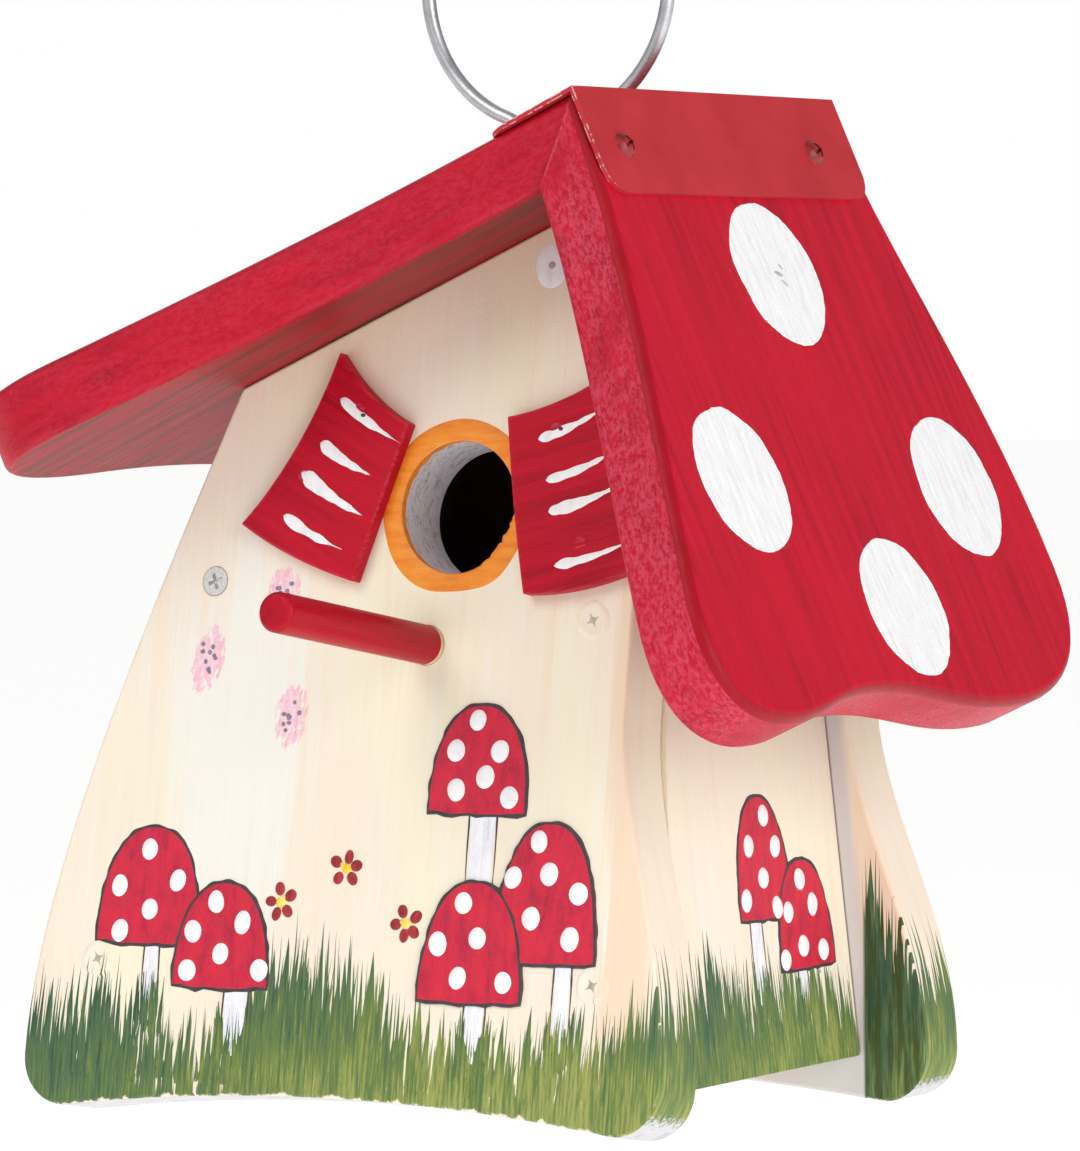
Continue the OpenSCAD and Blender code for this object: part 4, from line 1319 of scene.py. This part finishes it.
def shutter_strokes(bm):
    """Short tapering white strokes down each shutter."""
    rows = [((-9.2, 171.7), (8.5, 160.9), 3.1), ((-14, 161.1), (0.8, 153.2), 3.8),
            ((-18.8, 153.9), (-0.7, 143.5), 4.2), ((-23.1, 143.5), (-5.8, 135.4), 3.2),
            ((47.2, 161.5), (64.1, 168.6), 3.0), ((50.1, 151.8), (66.9, 158), 2.9),
            ((51.4, 144.4), (70.2, 150.7), 3.6), ((54, 131.7), (73.2, 137.2), 2.6)]
    for start, end, width in rows:
        add_stroke(bm, FRONT, start, end, width * 1.15, SHUTTER_T + 0.4, low=SHUTTER_T - 0.03, bow=-0.6,
                   steps=22, blunt=0.24)


def brad_covers(film, specks):
    """Crimson paint over the sunk brads; two of them show as dark specks on the white strokes."""
    for x, v in BRADS:
        add_dome(film, FRONT, x, v, 1.7, 1.6, 0.12, low=SHUTTER_T, sides=16)
    for x, v in ((-2.4, 167.6), (53.2, 163.9)):
        add_dome(specks, FRONT, x, v, 0.65, 0.5, 0.5, low=SHUTTER_T + 0.15, sides=9)


def decorate():
    """All the raised paint, one piece for each colour."""
    red, dark, white, stems = (bmesh.new() for _ in range(4))
    toadstools(FRONT, TOADSTOOLS, red, dark, white, stems, 0)
    toadstools(WALL_RIGHT, WALL_TOADSTOOLS, red, dark, white, stems, 5)
    add_dome(white, FRONT, *FRONT_SCREWS[4], 4.8, 5.6, 0.36, low=0.0, sides=28)
    petals, yellow, pink, lilac = (bmesh.new() for _ in range(4))
    flowers(petals, yellow)
    dabs(pink, lilac)
    film, pit = bmesh.new(), bmesh.new()
    screw_films(film, pit)
    front_blades, wall_blades, back_blades, left_blades = (bmesh.new() for _ in range(4))
    blades(front_blades, FRONT, GRASS_FRONT, span=(-82, 83), foot=6.5, count=420, seed=5)
    stem_feet(front_blades, FRONT, TOADSTOOLS, seed=6)
    blades(wall_blades, WALL_RIGHT, GRASS_WALL, span=(-44, 40), foot=12, count=150, seed=8)
    stem_feet(wall_blades, WALL_RIGHT, WALL_TOADSTOOLS, seed=9)
    blades(back_blades, BACK_OUT, GRASS_PLAIN, span=(-90, 90), foot=6.5, count=380, seed=12)
    blades(left_blades, WALL_LEFT, GRASS_PLAIN, span=(-40, 44), foot=14, count=150, seed=14)
    for name, bm, material in (
            ("toadstool_stem_paint", stems, mat_stem), ("toadstool_outline_paint", dark, mat_dark),
            ("toadstool_cap_paint", red, mat_red), ("white_dot_paint", white, mat_white),
            ("petal_paint", petals, mat_petal), ("flower_middle_paint", yellow, mat_yellow),
            ("pink_dab_paint", pink, mat_pink), ("lilac_dot_paint", lilac, mat_lilac),
            ("screw_head_paint", film, mat_front), ("screw_recess_shade_paint", pit, mat_recess_shade),
            ("back_grass_paint", back_blades, mat_grass_back),
            ("left_grass_paint", left_blades, mat_grass_left),
            ("front_grass_paint", front_blades, mat_grass_front),
            ("wall_grass_paint", wall_blades, mat_grass_wall)):
        paint(name, bm, material)
    covers, specks, spots, strokes = (bmesh.new() for _ in range(4))
    brad_covers(covers, specks)
    roof_spots(spots)
    shutter_strokes(strokes)
    for name, bm, material in (
            ("brad_cover_paint", covers, mat_shutter_right), ("brad_speck", specks, mat_dark),
            ("roof_spot_paint", spots, mat_spot), ("shutter_stroke_paint", strokes, mat_white)):
        paint(name, bm, material, "crimson_painted_wood")


entrance_ring()
decorate()


# ---- Stage, light and camera ----

WHITE = (1, 1, 1, 1)
FLOOR_Z = -0.30
FLOOR_GLOW = 0.66
WORLD_LIGHT = 0.36
AIM = Vector((0.015, -0.01, 0.13))


def stage():
    """A wide pale floor well below the hanging house, seen only from above."""
    bm = bmesh.new()
    bmesh.ops.create_grid(bm, x_segments=4, y_segments=4, size=30)
    floor = new_object("floor", bm)
    floor.location.z = FLOOR_Z
    g = Graph("pale_floor", roughness=0.9, specular=0.1)
    g.shader.inputs["Base Color"].default_value = (0.86, 0.86, 0.86, 1)
    g.shader.inputs["Emission Color"].default_value = WHITE
    g.shader.inputs["Emission Strength"].default_value = FLOOR_GLOW
    clear = g.node("ShaderNodeBsdfTransparent").outputs[0]
    below = g.node("ShaderNodeNewGeometry").outputs["Backfacing"]
    both = g.node("ShaderNodeMixShader", {0: below, 1: g.shader.outputs[0], 2: clear}).outputs[0]
    g.tree.links.new(both, g.surface)
    floor.data.materials.append(g.material)


def world():
    """A soft even light from all round, which the camera sees as plain white."""
    made = bpy.data.worlds.new("studio")
    bpy.context.scene.world = made
    made.use_nodes = True
    tree = made.node_tree
    tree.nodes.clear()
    seen = tree.nodes.new("ShaderNodeBackground")
    seen.inputs[0].default_value = WHITE
    seen.inputs[1].default_value = 1.0
    lit = tree.nodes.new("ShaderNodeBackground")
    lit.inputs[0].default_value = (1.0, 0.99, 0.98, 1)
    lit.inputs[1].default_value = WORLD_LIGHT
    path = tree.nodes.new("ShaderNodeLightPath")
    both = tree.nodes.new("ShaderNodeMixShader")
    out = tree.nodes.new("ShaderNodeOutputWorld")
    tree.links.new(path.outputs["Is Camera Ray"], both.inputs[0])
    tree.links.new(lit.outputs[0], both.inputs[1])
    tree.links.new(seen.outputs[0], both.inputs[2])
    tree.links.new(both.outputs[0], out.inputs[0])


def bearing(azimuth, elevation):
    """The unit direction from the house to a place round it; azimuth 0 is in front of the entrance."""
    level = math.cos(elevation)
    return Vector((math.sin(azimuth) * level, -math.cos(azimuth) * level, math.sin(elevation)))


def softbox(name, azimuth, elevation, distance, size, power):
    """A square softbox aimed at the house."""
    light = bpy.data.lights.new(name, "AREA")
    light.size = size
    light.energy = power
    obj = bpy.data.objects.new(name, light)
    away = bearing(math.radians(azimuth), math.radians(elevation))
    obj.location = AIM + away * distance
    obj.rotation_euler = away.to_track_quat("Z", "Y").to_euler()
    bpy.context.scene.collection.objects.link(obj)


def camera():
    """The viewpoint: low, from the right of the entrance, through a long lens."""
    a, e, roll = math.radians(31.764), math.radians(1.94), math.radians(-0.87)
    back = bearing(a, e)
    right = Vector((math.cos(a), math.sin(a), 0))
    up = back.cross(right)
    turned_right = math.cos(roll) * right + math.sin(roll) * up
    turned_up = -math.sin(roll) * right + math.cos(roll) * up
    data = bpy.data.cameras.new("camera")
    data.lens = 198.0
    data.sensor_width = 36
    data.clip_start = 0.05
    cam = bpy.data.objects.new("camera", data)
    cam.matrix_world = Matrix.Translation((0.8271, -1.3029, 0.1810)) @ Matrix(
        (turned_right, turned_up, back)).transposed().to_4x4()
    bpy.context.scene.collection.objects.link(cam)
    bpy.context.scene.camera = cam


stage()
world()
softbox("key", -20, 42, 2.0, 1.2, 15)
softbox("fill", 70, 16, 2.2, 1.4, 25)
softbox("back", 215, 30, 2.4, 1.6, 9)
camera()
bpy.context.scene.view_settings.view_transform = "Standard"
